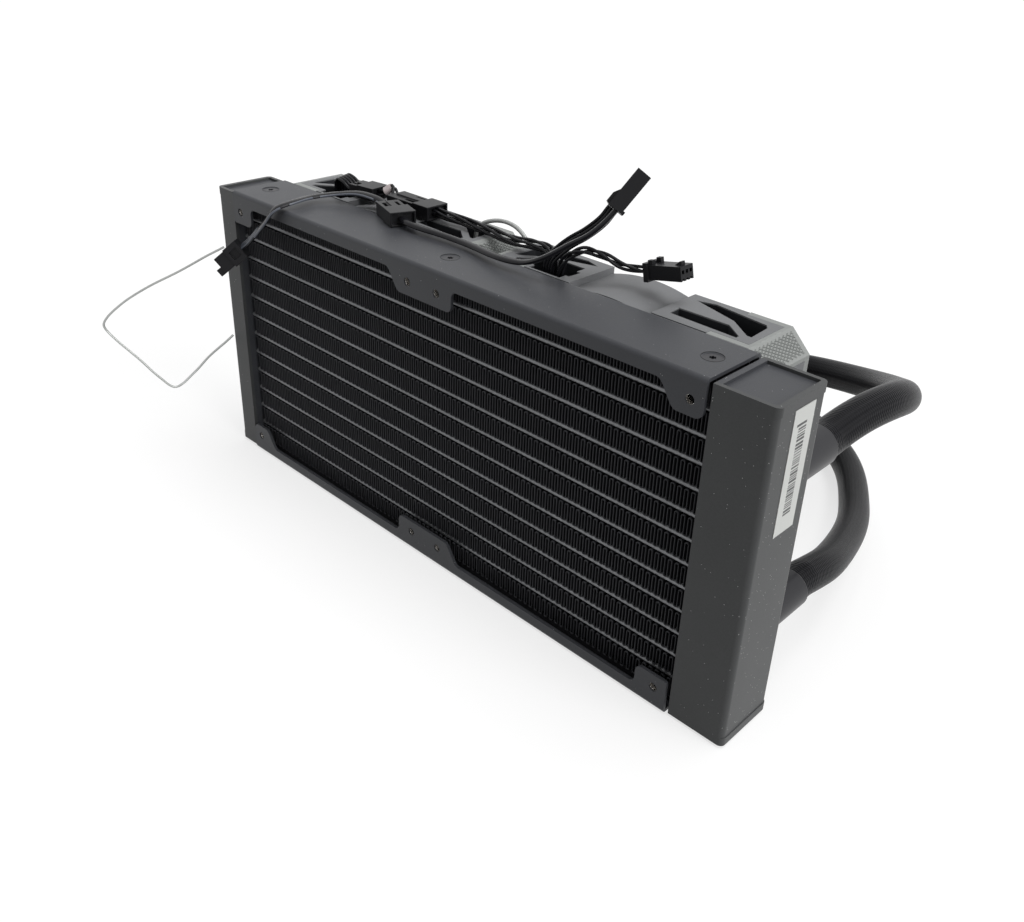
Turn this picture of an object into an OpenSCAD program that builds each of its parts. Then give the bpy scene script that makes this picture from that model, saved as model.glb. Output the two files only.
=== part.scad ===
// Liquid cooler for a processor: a radiator for two fans, two hoses and a pump head.
// X runs along the radiator, Y from its front face to the fans, Z upwards.

/* [Radiator] */
// Depth of the radiator, from its front face to the fans
rad_d = 27; // [26:0.5:32]
// How far the radiator stands above and below the fans, both together
height_over = 1; // [0.5:0.1:3]
// How much shorter each end of the side plates is than the fans
plate_inset = 2.5; // [1:0.1:3.5]
// Thickness of the folded side plates
sheet_t = 1.2; // [1:0.1:1.4]
// Height of the side plates' flanges
flange_h = 5; // [4:0.1:6]
// Sheet below the centre of a screw hole, down to the edge of its tab
tab_below = 5; // [4:0.1:6]
// Length of the curve that runs down to a tab
tab_run = 7.5; // [6:0.1:9]
// Radius of the round corners of a tab
tab_r = 2.5; // [1.5:0.1:3]
// Radius of the screw holes in the flanges
flange_hole_r = 1.6; // [1.55:0.01:1.75]
// Radius of the collar drawn up around each screw hole
hole_collar_r = 2.6; // [2.4:0.1:2.9]
// Number of flat tubes
tube_count = 12; // [9:1:13]
// Thickness of a flat tube
tube_t = 1.8; // [1.5:0.1:2.2]
// Depth of a flat tube
tube_d = 17; // [15:0.5:18]
// Wall of a flat tube
tube_wall = 0.3; // [0.2:0.05:0.4]
// Depth of a fin strip
fin_d = 18; // [16:0.5:18.5]
// Length of one fold of a fin strip
fin_pitch = 5; // [4.5:0.1:9]
// Thickness of the fin strips
fin_t = 0.3; // [0.2:0.05:0.5]
// Height of the channels between the outer fins and the side plates
strip_h = 2.35; // [2:0.05:3]
// Sheet of those channels
strip_t = 0.6; // [0.5:0.1:0.8]

/* [Tanks] */
// Length of the right tank along the radiator
tank_right_l = 20.5; // [20:0.5:28]
// Length of the left tank along the radiator
tank_left_l = 11.1; // [9:0.1:16]
// Gap between the side plates and the right tank
gap_right = 1.4; // [0.8:0.1:2]
// Gap between the side plates and the left tank
gap_left = 1; // [0.6:0.1:2]
// Wall of the tanks
tank_wall = 1.5; // [1.2:0.1:2]
// Radius of the outer corners of the tanks
tank_r = 2; // [1.6:0.1:3]
// How far the tanks' front and back lie inside the side plates
tank_step_y = 0.7; // [0.4:0.1:1.2]
// How far the tanks' ends lie inside the side plates
tank_step_z = 0.8; // [0.4:0.1:1.5]
// How deep the end caps lie below the rims of the tanks
cap_depth = 1; // [0.6:0.1:2]
// Thickness of the end caps
cap_t = 1.5; // [1:0.1:2.5]
// Height of the caps' skirts around the tanks
skirt_h = 3; // [2:0.1:4]
// How far the skirts stand out from the tanks
skirt_t = 0.3; // [0.2:0.05:0.4]
// Thickness of the header plates that hold the tubes
header_t = 2; // [1.5:0.1:2.5]
// Radius of a hose nipple
nipple_r = 4; // [3.6:0.1:4.4]
// Bore of a hose nipple
nipple_bore_r = 3; // [2.4:0.1:3.2]
// Height between the two nipples
nipple_pitch = 55; // [40:0.5:70]
// Radius of the collars on the hoses' ends
collar_r = 6.9; // [6.5:0.1:7.4]
// Length of the collars at the tank
tank_collar_l = 26.5; // [24:0.5:30]
// Outer diameter of the hoses
hose_od = 12.5; // [11:0.1:13]
// Height of the label on the right tank's end
label_h = 41; // [30:1:60]
// Width of that label
label_w = 10.7; // [8:0.1:16]

/* [Fans] */
// Side of a fan
fan_size = 120; // [119:0.5:124]
// Depth of a fan over its corner pads
fan_d = 25; // [24:0.5:27]
// Distance from a fan's edges to the centres of its screw holes
hole_edge = 7.5; // [7:0.1:8]
// Wall of the round duct
duct_wall = 2.75; // [2:0.05:3.2]
// How far a fan's black frame lies inside its pads, at the front and the back
frame_step = 0.6; // [0.3:0.1:1]
// Width of the middle of each side where the duct shows
duct_show = 34; // [28:1:38]
// Width of a corner pad along the frame
pad_w = 22; // [19:0.5:23]
// Thickness of a pad's front and back plates
pad_t = 2.6; // [2:0.1:3.2]
// Thickness of a pad over the chamfered corner
pad_skin = 1.6; // [1.2:0.1:2]
// Leg of the chamfer at the corners
chamfer = 7; // [6:0.1:7.5]
// Radius of a fan's screw holes
fan_hole_r = 2.2; // [2:0.05:2.4]
// Depth of the pockets in the sides of a frame
pocket_depth = 10.5; // [7:0.1:11]
// Radius of the rotor's hub
hub_r = 20.5; // [19:0.1:23]
// Wall of the hub
hub_wall = 1.3; // [1:0.1:1.8]
// Height of the hub
hub_h = 18.5; // [17:0.5:19.5]
// Number of blades
blade_count = 9; // [7:1:11]
// Thickness of a blade
blade_t = 1.4; // [1:0.1:2]
// Gap between the blade tips and the duct
blade_gap = 1.5; // [1:0.1:2.5]
// Radius of a fan's shaft
shaft_r = 1.5; // [1.3:0.05:1.8]
// Thickness of the struts that carry the motor
strut_t = 3.4; // [2.5:0.1:4]
// Length of the screws that hold a fan, below the head
fan_screw_l = 28; // [27:0.5:29]
// Radius of those screws
fan_screw_r = 1.5; // [1.4:0.05:1.52]

/* [Pump head] */
// Side of the cold plate
cold_side = 54; // [48:1:56]
// Thickness of the cold plate
cold_t = 3; // [2.5:0.1:4]
// Radius of the pump housing
housing_r = 32; // [30.5:0.5:36]
// Height of the housing above its seal
housing_h = 26; // [25:0.5:30]
// Height of the cover above the housing
cover_h = 14; // [11:0.5:20]
// Distance between the screw holes of the mounting frame
bracket_pitch = 75; // [72:0.5:78]
// Thickness of the mounting frame
bracket_t = 2; // [1.5:0.1:3]
// Radius of the impeller
impeller_r = 13; // [11:0.5:14]
// Number of vanes on the impeller
vane_count = 7; // [5:1:9]

/* [Hidden] */
$fn = 64;

// Small distance by which cutting shapes overrun
over = 1;

// Sizes of the radiator that follow from the fans
rad_h = fan_size + height_over;
plate_l = 2 * (fan_size - plate_inset);
hole_pitch = fan_size - 2 * hole_edge;
mid_z = rad_h / 2;
fan_x = fan_size / 2;
tab_h = mid_z - hole_pitch / 2 + tab_below;
hole_x = [for (s = [-1, 1], h = [-1, 1]) s * fan_x + h * hole_pitch / 2];
hole_z = [mid_z - hole_pitch / 2, mid_z + hole_pitch / 2];
hole_collar_h = 2.3;
bend_r = sheet_t + 0.4;

// Tubes and fins
core_y0 = (rad_d - tube_d) / 2;
core_h = rad_h - 2 * (sheet_t + strip_h);
tube_pitch = (core_h + tube_t) / (tube_count + 1);
fin_h = tube_pitch - tube_t;
fin_clear = 0.02;
fin_l = plate_l - 1;

// Tanks
right_x = plate_l / 2 + gap_right;
left_x = -plate_l / 2 - gap_left;
tank_y0 = tank_step_y;
tank_y1 = rad_d - tank_step_y;
tank_z0 = tank_step_z;
tank_z1 = rad_h - tank_step_z;
tube_reach = 1.5;
nipple_x = right_x + tank_right_l / 2;
nipple_z = [mid_z - nipple_pitch / 2 - 1.5, mid_z + nipple_pitch / 2 - 1.5];
nipple_flange_t = 1.2;
nipple_l = 22;
collar_y0 = tank_y1 + nipple_flange_t;
collar_y1 = collar_y0 + tank_collar_l;

// Side plate screws
side_screw_x = [-plate_l / 2 + 7.7, 0, plate_l / 2 - 7.7];
side_screw_head_r = 3.5;
side_screw_r = 1.2;
side_screw_slope = (side_screw_head_r - side_screw_r) / sheet_t;
side_boss_r = 2.6;

// Fans
duct_r = fan_size / 2 - duct_wall;
frame_d = fan_d - 2 * frame_step;
blade_r = duct_r - blade_gap;
hub_top = fan_d - 1.5;
motor_r = hub_r + 0.5;
motor_t = 2;
bearing_r = 3.5;
bearing_post_r = 5;
bearing_z0 = frame_step + motor_t;
bearing_z1 = 18;
shaft_top = 21.5;
running = 0.03;
stator_r = hub_r - 6.5;
board_r = hub_r - 4.5;
fan_y = rad_d;
washer_y = fan_y + fan_d;
exit_depth = 5;

// Pump head
seal_t = 1;
housing_z0 = cold_t + seal_t;
housing_z1 = housing_z0 + housing_h;
port_x = housing_r + 6;
port_y = 13;
port_z = 32;
arm_r = 6.5;
port_r = 4.6;
hose_end_x = -30;
pump_collar_l = 9;
elbow_l = 7.5;
pump = [hose_end_x - pump_collar_l - elbow_l - port_x, 161];
manifold_z0 = housing_z0 + 4;
manifold_z1 = housing_z0 + housing_h - 6;
chamber_r = impeller_r + 1;
can_r = 8.5;
can_wall = 1;
pin_r = 1.2;

// Distances between the contacts of the two plugs
contact_pitch = 2.54;
small_pitch = 2;

// Routes of the hoses and cables, chosen by hand
route_hose_upper = [
    [129, 54, 86.5], [129.5, 62, 88], [131, 72, 90], [133, 83, 90.5], [133, 95, 88.5],
    [130.5, 107, 84], [125.5, 120, 78], [118, 134, 71.5], [109, 148, 65], [98, 161, 58.5],
    [85, 171, 53], [70, 178, 48.5], [54, 181, 45], [38, 180, 42], [22, 175, 38.5],
    [8, 167, 35.5], [-6, 158, 33.5], [-18, 151.5, 32.3], [-30, 148, 32]
];
route_hose_lower = [
    [129, 54, 31.5], [129.5, 64, 30.5], [129, 75, 27.5], [126, 88, 23.5], [122.5, 102, 19.5],
    [118, 118, 15.5], [112, 135, 12], [103.5, 152, 9.5], [94, 169, 8], [82, 184, 7.5],
    [67, 195, 8], [50, 201, 9.5], [33, 202, 13], [17, 198, 18], [2, 190, 23.5],
    [-12, 181.5, 28.5], [-22, 176, 31.3], [-30, 174, 32]
];
route_lead_four = [
    [30, 31, 115.5], [30, 31, 120], [30.6, 31.5, 124], [33, 32.5, 127.5], [37, 34, 131.5],
    [42.5, 35.6, 135.8], [47, 37.8, 140.6], [48.5, 40.6, 144.5]
];
route_lead_three = [
    [35, 31.5, 115.5], [35.2, 31.5, 120], [36.6, 31.5, 125], [39.5, 32, 128.5], [45, 33, 131],
    [51, 34.5, 130.5], [56, 37.5, 128], [60.8, 40, 127.3], [66, 40.5, 128.2]
];
route_link = [
    [-37.7, 23.5, 123.9], [-32, 22, 123.6], [-26, 22.3, 123.2], [-16, 23.6, 123],
    [-1, 23.5, 123], [18, 20.2, 124],
    [28, 20.2, 125.2], [37, 20.5, 129], [43.5, 25.5, 134], [48.8, 30.5, 138.4], [52.4, 37.3, 145.4]
];
route_back = [
    [-36.4, 38.9, 123.9], [-30, 39.2, 123.7], [-22, 40.2, 123.3], [-8, 40, 123.1],
    [8, 38, 123.6], [18, 37.5, 125], [25, 37, 124.8], [27.6, 37, 121], [28, 37, 115.5]
];
route_ribbon = [
    [-53.5, 29.3, 123.7], [-57.5, 30.6, 124], [-63, 30.4, 125], [-70.5, 28.2, 125.4],
    [-78, 23.5, 124.3], [-83, 15, 123.4],
    [-82, 5, 123.3], [-84, -1.8, 121.4], [-88.5, -3.2, 116], [-93.5, -3.6, 111.2],
    [-98.7, -4.6, 105.8], [-103.2, -6, 101.8]
];
route_left_leads = [
    [-94.5, 38, 115.5], [-94.5, 38, 121], [-94.3, 37.8, 124], [-92, 37.4, 126], [-87.5, 37, 125.6],
    [-83.2, 37, 123.8]
];
route_loop = [
    [-70.4, 38.4, 123.8], [-67.3, 39.6, 124.8], [-65, 41.5, 126.6], [-62.6, 40.6, 125.2], [-60.1, 38.8, 123.7]
];
route_grey_wire = [
    [-18.5, 43, 110], [-18, 43, 118], [-15.5, 43.4, 123], [-8, 44.6, 126], [1, 44, 126.4],
    [7.5, 43.2, 123.8], [9.6, 43, 120.5]
];
route_stiff_wire = [
    [-130.2, 1, 93.5], [-135, -5, 89.5], [-142, -14.5, 83], [-151, -26.5, 75.5],
    [-157.5, -36.5, 68], [-160.5, -43.4, 60.5], [-159, -42, 55.5], [-149, -35, 44.5],
    [-142, -30.5, 37], [-137, -26, 32.6], [-135, -17, 38], [-133.5, -10, 44],
    [-130.2, 1, 52.3]
];
lead_four_d = 4;
lead_three_d = 3;
link_d = 3.5;
back_lead_d = 4;
ribbon_w = 5;
ribbon_t = 1.6;
left_leads_w = 7;
left_leads_t = 1.4;
loop_lead_d = 3;
grey_wire_d = 1.6;
stiff_wire_d = 1;

// Colours of the finishes
c_coat = "#46474b";
c_case = "#2d2e31";
c_frame = "#38393c";
c_pad = "#a8aba6";
c_dark = "#1b1c1f";
c_metal = "#b8babc";
c_copper = "#b06b3d";
c_board = "#1f4a35";
c_white = "#e6e6e4";

// Points of an arc in a plane
function arc(c, r, a0, a1, n = 6) =
    [for (i = [0:n]) c + r * [cos(a0 + (a1 - a0) * i / n), sin(a0 + (a1 - a0) * i / n)]];

// A smooth step from 0 to 1
function ease(t) = (1 - cos(180 * t)) / 2;

function unit(v) = v / norm(v);

// Direction of a route at each of its points
function tangents(p, d0, d1) =
    [for (i = [0:len(p) - 1]) i == 0 ? unit(d0) : i == len(p) - 1 ? unit(d1) : unit(p[i + 1] - p[i - 1])];

// A normal carried along a route without twist
function carried(t, n0, i = 0, acc = []) =
    i == len(t) ? acc :
    let (last = i == 0 ? n0 : acc[i - 1], n = unit(last - (last * t[i]) * t[i]))
    carried(t, n0, i + 1, concat(acc, [n]));

// A cord of width w and height h along a route, with flat ends that face d0 and d1
module cord(p, d0, d1, w, h, sides, up = [0, 0, 1]) {
    t = tangents(p, d0, d1);
    n = carried(t, up);
    rings = len(p);
    points = [
        for (i = [0:rings - 1], k = [0:sides - 1])
        let (a = 360 * (k + 0.5) / sides)
        p[i] + cos(a) * n[i] * h / 2 + sin(a) * cross(t[i], n[i]) * w / 2
    ];
    sides_a = [for (i = [0:rings - 2], k = [0:sides - 1])
        [i * sides + k, (i + 1) * sides + k, (i + 1) * sides + (k + 1) % sides]];
    sides_b = [for (i = [0:rings - 2], k = [0:sides - 1])
        [i * sides + k, (i + 1) * sides + (k + 1) % sides, i * sides + (k + 1) % sides]];
    first = [[for (k = [0:sides - 1]) k]];
    last = [[for (k = [0:sides - 1]) (rings - 1) * sides + sides - 1 - k]];
    polyhedron(points, concat(sides_a, sides_b, first, last), convexity = 4);
}

// Children with their Z axis turned to d at p
module aim(p, d, roll = 0) {
    translate(p)
        rotate([0, acos(d[2] / norm(d)), atan2(d[1], d[0])])
            rotate([0, 0, roll])
                children();
}

// Children drawn in Y and Z, extruded along X from x0
module along_x(x0, l) {
    translate([x0, 0, 0])
        rotate([90, 0, 90])
            linear_extrude(l)
                children();
}

// Children drawn in X and Z, extruded along Y from y0
module along_y(y0, l) {
    translate([0, y0 + l, 0])
        rotate([90, 0, 0])
            linear_extrude(l)
                children();
}

// A rod along Y
module rod_y(x, z, r, y0, y1) {
    translate([x, y1, z])
        rotate([90, 0, 0])
            cylinder(r = r, h = y1 - y0);
}

// A rectangle with two round corners at its top
module arch(w, h, r) {
    square([w, h - r]);
    translate([r, 0])
        square([w - 2 * r, h]);
    for (x = [r, w - r])
        translate([x, h - r])
            circle(r, $fn = 32);
}

// A rectangle with four round corners, centred
module round_rect(w, h, r) {
    square([w - 2 * r, h], center = true);
    square([w, h - 2 * r], center = true);
    for (x = [-1, 1], y = [-1, 1])
        translate([x * (w / 2 - r), y * (h / 2 - r)])
            circle(r, $fn = 32);
}

module ring(r1, r0, h) {
    difference() {
        cylinder(r = r1, h = h);
        translate([0, 0, -over])
            cylinder(r = r0, h = h + 2 * over);
    }
}

// Radiator core

module tube_section(inset) {
    w = tube_d - 2 * inset;
    t = tube_t - 2 * inset;
    square([w - t, t], center = true);
    for (s = [-1, 1])
        translate([s * (w - t) / 2, 0])
            circle(t / 2, $fn = 24);
}

function tube_z(i) = mid_z + (i - (tube_count - 1) / 2) * tube_pitch;

module each_tube() {
    for (i = [0:tube_count - 1])
        translate([0, rad_d / 2, tube_z(i)])
            children();
}

module core_tubes() {
    x0 = left_x - header_t - tube_reach;
    x1 = right_x + header_t + tube_reach;
    color(c_metal)
        each_tube()
            along_x(x0, x1 - x0)
                difference() {
                    tube_section(0);
                    tube_section(tube_wall);
                }
}

// One folded strip of fins, a thin zigzag between two tubes
module fin_strip() {
    folds = 2 * floor(fin_l / fin_pitch);
    step = fin_l / folds;
    h = fin_h - 2 * fin_clear;
    slope = norm([step, h]) / step;
    lower = [for (i = [0:folds]) [-fin_l / 2 + i * step, i % 2 == 0 ? 0 : h - fin_t * slope]];
    upper = [for (i = [folds:-1:0]) [-fin_l / 2 + i * step, i % 2 == 0 ? fin_t * slope : h]];
    polygon(concat(lower, upper));
}

module core_fins() {
    color(c_dark)
        for (i = [0:tube_count])
            translate([0, 0, tube_z(i - 1) + tube_t / 2 + fin_clear])
                along_y((rad_d - fin_d) / 2, fin_d)
                    fin_strip();
}

// Channel between the outer fins and a side plate, with a boss at each screw
module core_strip() {
    z0 = sheet_t + core_h + strip_h;
    difference() {
        union() {
            along_x(-fin_l / 2, fin_l)
                translate([core_y0, z0])
                    difference() {
                        square([tube_d, strip_h]);
                        translate([strip_t, strip_t])
                            square([tube_d - 2 * strip_t, strip_h]);
                    }
            for (x = side_screw_x)
                translate([x, rad_d / 2, z0])
                    cylinder(r = side_boss_r, h = strip_h);
        }
        for (x = side_screw_x)
            translate([x, rad_d / 2, z0 + 0.3])
                cylinder(r = side_screw_r, h = strip_h);
    }
}

module core_strips() {
    color(c_dark) {
        core_strip();
        turned_over()
            core_strip();
    }
}

// Children turned half a turn about the radiator's middle, for the bottom plate
module turned_over() {
    translate([0, 0, rad_h])
        rotate([0, 180, 0])
            children();
}

// Radiator tanks

module header(x, from_x) {
    difference() {
        translate([x, tank_y0 + tank_wall, tank_z0])
            cube([header_t, tank_y1 - tank_y0 - 2 * tank_wall, tank_z1 - tank_z0]);
        each_tube()
            along_x(from_x, header_t + 2 * over)
                tube_section(0);
    }
}

module header_plates() {
    color(c_metal) {
        header(left_x - header_t, left_x - header_t - over);
        header(right_x, right_x - over);
    }
}

// Section of a tank in X and Y: a folded channel open to the core at x = 0
module tank_outline(l, inset, back) {
    r = tank_r - inset;
    y0 = tank_y0 + inset;
    y1 = tank_y1 - inset;
    x1 = l - inset;
    translate([-back, y0])
        square([x1 + back - r, y1 - y0]);
    translate([x1 - r - 0.01, y0 + r])
        square([r + 0.01, y1 - y0 - 2 * r]);
    for (y = [y0 + r, y1 - r])
        translate([x1 - r, y])
            circle(r, $fn = 32);
}

module tank_shell(l) {
    h = tank_z1 - tank_z0;
    translate([0, 0, tank_z0])
        difference() {
            union() {
                linear_extrude(h)
                    tank_outline(l, 0, 0);
                for (z = [0, h - skirt_h])
                    translate([0, 0, z])
                        linear_extrude(skirt_h)
                            tank_outline(l + skirt_t, 0, 0);
            }
            translate([0, 0, -over])
                linear_extrude(h + 2 * over)
                    tank_outline(l, tank_wall, over);
        }
}

// Recessed lids that close a tank
module tank_lids(l) {
    for (z = [tank_z0 + cap_depth, tank_z1 - cap_depth - cap_t])
        translate([0, 0, z])
            linear_extrude(cap_t)
                difference() {
                    tank_outline(l, tank_wall, 0);
                    translate([-over, 0])
                        square([header_t + over, rad_d]);
                }
}

module tank_left() {
    color(c_case)
        translate([left_x, 0, 0])
            mirror([1, 0, 0])
                tank_shell(tank_left_l);
}

module tank_right() {
    color(c_case)
        difference() {
            translate([right_x, 0, 0])
                tank_shell(tank_right_l);
            for (z = nipple_z)
                rod_y(nipple_x, z, nipple_r, tank_y1 - tank_wall - over, tank_y1 + over);
        }
}

module tank_caps() {
    color(c_case) {
        translate([right_x, 0, 0])
            tank_lids(tank_right_l);
        translate([left_x, 0, 0])
            mirror([1, 0, 0])
                tank_lids(tank_left_l);
    }
}

// Wall in the right tank that sends the water to the far end and back
module tank_divider() {
    color(c_case)
        translate([right_x, 0, mid_z - cap_t / 2])
            linear_extrude(cap_t)
                difference() {
                    tank_outline(tank_right_l, tank_wall, 0);
                    translate([-over, 0])
                        square([header_t + over, rad_d]);
                }
}

module hose_nipples() {
    color(c_metal)
        for (z = nipple_z)
            difference() {
                union() {
                    rod_y(nipple_x, z, nipple_r, tank_y1 - tank_wall, collar_y0 + nipple_l);
                    rod_y(nipple_x, z, collar_r, tank_y1, collar_y0);
                }
                rod_y(nipple_x, z, nipple_bore_r, rad_d / 2, rad_d + fan_d + over);
            }
}

module tank_label() {
    color(c_white)
        translate([right_x + tank_right_l, rad_d / 2 + 1.65 - label_w / 2, tank_z1 - 3.7 - label_h])
            cube([0.15, label_w, label_h]);
}

// Side plates

// A tab with a long curve on its left and a short corner on its right
function tab_points(x0, x1) = concat(
    [for (i = [0:8]) [x0 - tab_run * (1 - i / 8), flange_h + (tab_h - flange_h) * ease(i / 8)]],
    arc([x1 - tab_r, tab_h - tab_r], tab_r, 90, 0),
    arc([x1 + tab_r, flange_h + tab_r], tab_r, 180, 270),
    [[x1 + tab_r, flange_h - over], [x0 - tab_run, flange_h - over]]
);

// Face of a flange, drawn downwards from the top of the plate
module flange_face() {
    tab_out = [4.2, 7.6];
    end_l = 1;
    end_r = 3;
    intersection() {
        union() {
            translate([-plate_l / 2, 0])
                square([plate_l, flange_h]);
            polygon(tab_points(hole_x[0] - tab_out[0] - 4, hole_x[0] + tab_out[1]));
            polygon(tab_points(hole_x[1] - tab_out[0], hole_x[2] + tab_out[1]));
            polygon(tab_points(hole_x[3] - tab_out[0], hole_x[3] + tab_out[1] + 2));
        }
        polygon(concat(
            [[-plate_l / 2, -over], [plate_l / 2, -over]],
            arc([plate_l / 2 - end_r, tab_h - end_r], end_r, 0, 90),
            arc([-plate_l / 2 + end_l, tab_h - end_l], end_l, 90, 180)
        ));
    }
}

module side_plate() {
    z0 = rad_h - tab_h;
    difference() {
        union() {
            intersection() {
                along_x(-plate_l / 2, plate_l)
                    difference() {
                        translate([0, z0])
                            arch(rad_d, tab_h, bend_r);
                        translate([sheet_t, z0 - over])
                            arch(rad_d - 2 * sheet_t, tab_h + over - sheet_t, bend_r - sheet_t);
                    }
                along_y(-over, rad_d + 2 * over)
                    translate([0, rad_h])
                        mirror([0, 1])
                            flange_face();
            }
            for (x = hole_x) {
                rod_y(x, hole_z[1], hole_collar_r, sheet_t / 2, sheet_t + hole_collar_h);
                rod_y(x, hole_z[1], hole_collar_r, rad_d - sheet_t - hole_collar_h, rad_d - sheet_t / 2);
            }
        }
        for (x = hole_x)
            rod_y(x, hole_z[1], flange_hole_r, -over, rad_d + over);
        for (x = side_screw_x)
            translate([x, rad_d / 2, rad_h - sheet_t])
                cylinder(
                    r1 = side_screw_r, r2 = side_screw_head_r + side_screw_slope * over, h = sheet_t + over
                );
    }
}

module side_plate_top() {
    color(c_coat)
        side_plate();
}

module side_plate_bottom() {
    color(c_coat)
        turned_over()
            side_plate();
}

// Countersunk screw with a six-lobed recess
module side_screw() {
    lobe_r = 0.35;
    lobe_x = 0.8;
    sunk = 0.25;
    shank_l = strip_h - 0.6;
    difference() {
        union() {
            translate([0, 0, -sheet_t])
                cylinder(
                    r1 = side_screw_r, r2 = side_screw_head_r - side_screw_slope * sunk, h = sheet_t - sunk
                );
            translate([0, 0, -sheet_t - shank_l])
                cylinder(r = side_screw_r, h = shank_l + 0.1);
        }
        translate([0, 0, -1.1])
            cylinder(r = lobe_x, h = over + 1.1);
        for (a = [0:60:300])
            rotate([0, 0, a])
                translate([lobe_x, 0, -1.1])
                    cylinder(r = lobe_r, h = over + 1.1, $fn = 16);
    }
}

module side_plate_screws() {
    color(c_dark)
        for (x = side_screw_x) {
            translate([x, rad_d / 2, rad_h])
                side_screw();
            translate([x, rad_d / 2, 0])
                mirror([0, 0, 1])
                    side_screw();
        }
}

// Fans, drawn with their axis along Z and the radiator's side at z = 0

module place_fan(x) {
    translate([x, fan_y, mid_z])
        rotate([-90, 0, 0])
            children();
}

module both_fans() {
    for (x = [-fan_x, fan_x])
        place_fan(x)
            children();
}

module four_corners() {
    for (a = [0:90:270])
        rotate([0, 0, a])
            children();
}

// A corner of the square frame, with its chamfer
function corner_points(cut) = let (h = fan_size / 2, s = duct_show / 2) [
    [s, h / 2], [s, h], [h - cut, h], [h, h - cut], [h, s], [h / 2, s]
];

// Face of a corner pad, outside the duct
module pad_face() {
    h = fan_size / 2;
    s = h - pad_w;
    difference() {
        polygon([[s, s], [s, h], [h - chamfer, h], [h, h - chamfer], [h, s]]);
        circle(h);
    }
}

// The pad's skin over the chamfer, with a bar on each side
module pad_skin_face() {
    h = fan_size / 2;
    bar = 1.5;
    c = chamfer + bar;
    deep = (chamfer + pad_skin * sqrt(2)) - c;
    polygon([
        [h - c, h], [h - chamfer, h], [h, h - chamfer], [h, h - c],
        [h - max(deep, 0.5), h - c], [h - c, h - max(deep, 0.5)]
    ]);
}

// Two pockets behind each side of a corner, with the slanted rib that is left between them
module pocket_faces() {
    u0 = duct_show / 2 + 4;
    u1 = hole_pitch / 2 - fan_hole_r - 1.3;
    polygon([
        [u0, 20], [u1 - 10.5, 14.6], [u1 - 1.5, 7.8], [u1, 7.8], [u1 - 0.6, 17.6],
        [u1 - 2, 19.4], [u0 + 6, 22]
    ]);
    polygon([[u0 - 0.4, 10.5], [u0, 5], [u1 - 3, 4.2], [u1 - 3, 5.6], [u1 - 9.8, 10.8]]);
}

module pockets() {
    h = fan_size / 2;
    difference() {
        for (a = [0:90:270], m = [0, 1])
            rotate([0, 0, a])
                mirror([m, 0, 0])
                    translate([0, h + over, 0])
                        rotate([90, 0, 0])
                            linear_extrude(pocket_depth + over)
                                pocket_faces();
        cylinder(r = h, h = fan_d);
    }
}

// A strut from the motor's base to the duct
module strut() {
    translate([motor_r - 3, -2.2, frame_step])
        cube([duct_r - motor_r + 3.5, 4.4, strut_t]);
}

// The slot that the leads leave by, and its floor
module exit_slot() {
    translate([-36.5, -fan_size / 2 - over, frame_step + 1])
        cube([14, exit_depth + over, 13.4]);
}

module exit_floor() {
    translate([-36.5, exit_depth - fan_size / 2, frame_step + 1])
        cube([14, 2, 13.4]);
}

module fan_frame() {
    h = fan_size / 2;
    difference() {
        union() {
            difference() {
                union() {
                    translate([0, 0, frame_step])
                        cylinder(r = h, h = frame_d);
                    four_corners()
                        translate([0, 0, frame_step])
                            linear_extrude(frame_d)
                                polygon(corner_points(chamfer));
                }
                translate([0, 0, -over])
                    cylinder(r = duct_r, h = fan_d + 2 * over);
                pockets();
                four_corners() {
                    for (z = [-over, fan_d - pad_t])
                        translate([0, 0, z])
                            linear_extrude(pad_t + over)
                                pad_face();
                    linear_extrude(fan_d)
                        pad_skin_face();
                    translate([hole_pitch / 2, hole_pitch / 2, -over])
                        cylinder(r = fan_hole_r, h = fan_d + 2 * over);
                }
            }
            translate([0, 0, frame_step])
                cylinder(r = motor_r, h = motor_t);
            translate([0, 0, frame_step])
                cylinder(r = bearing_post_r, h = bearing_z1 - frame_step);
            for (a = [20:90:290])
                rotate([0, 0, a])
                    strut();
            exit_floor();
        }
        exit_slot();
        translate([0, 0, bearing_z0])
            cylinder(r = bearing_r, h = fan_d);
    }
}

module fan_pads() {
    four_corners()
        difference() {
            union() {
                for (z = [0, fan_d - pad_t])
                    translate([0, 0, z])
                        linear_extrude(pad_t)
                            pad_face();
                linear_extrude(fan_d)
                    pad_skin_face();
            }
            translate([hole_pitch / 2, hole_pitch / 2, -over])
                cylinder(r = fan_hole_r, h = fan_d + 2 * over);
        }
}

// Section of a blade across its span: a curved band set at an angle
module blade_section() {
    chord_r = 34;
    n = 8;
    rotate(38)
        polygon(concat(
            arc([0, -chord_r * 0.93], chord_r, 118, 62, n),
            arc([0, -chord_r * 0.93 - blade_t], chord_r, 64, 116, n)
        ));
}

// Plan of a blade, swept forwards towards the tip
module blade_plan() {
    r0 = hub_r - 0.5;
    r1 = blade_r + 2;
    n = 6;
    polygon(concat(
        [for (i = [0:n]) let (r = r0 + (r1 - r0) * i / n, a = 14 + 10 * ease(i / n)) r * [cos(a), sin(a)]],
        [for (i = [n:-1:0]) let (r = r0 + (r1 - r0) * i / n, a = -14 + 16 * i / n) r * [cos(a), sin(a)]]
    ));
}

module blade() {
    z_mid = (frame_step + strut_t + hub_top) / 2 + 0.6;
    intersection() {
        translate([0, 0, z_mid])
            rotate([90, 0, 90])
                linear_extrude(blade_r + 3)
                    blade_section();
        linear_extrude(hub_top)
            blade_plan();
        translate([0, 0, frame_step + strut_t + 0.8])
            ring(blade_r, hub_r, hub_top - frame_step - strut_t - 1.6);
    }
}

module fan_blades() {
    for (i = [0:blade_count - 1])
        rotate([0, 0, 360 * i / blade_count])
            blade();
}

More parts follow.
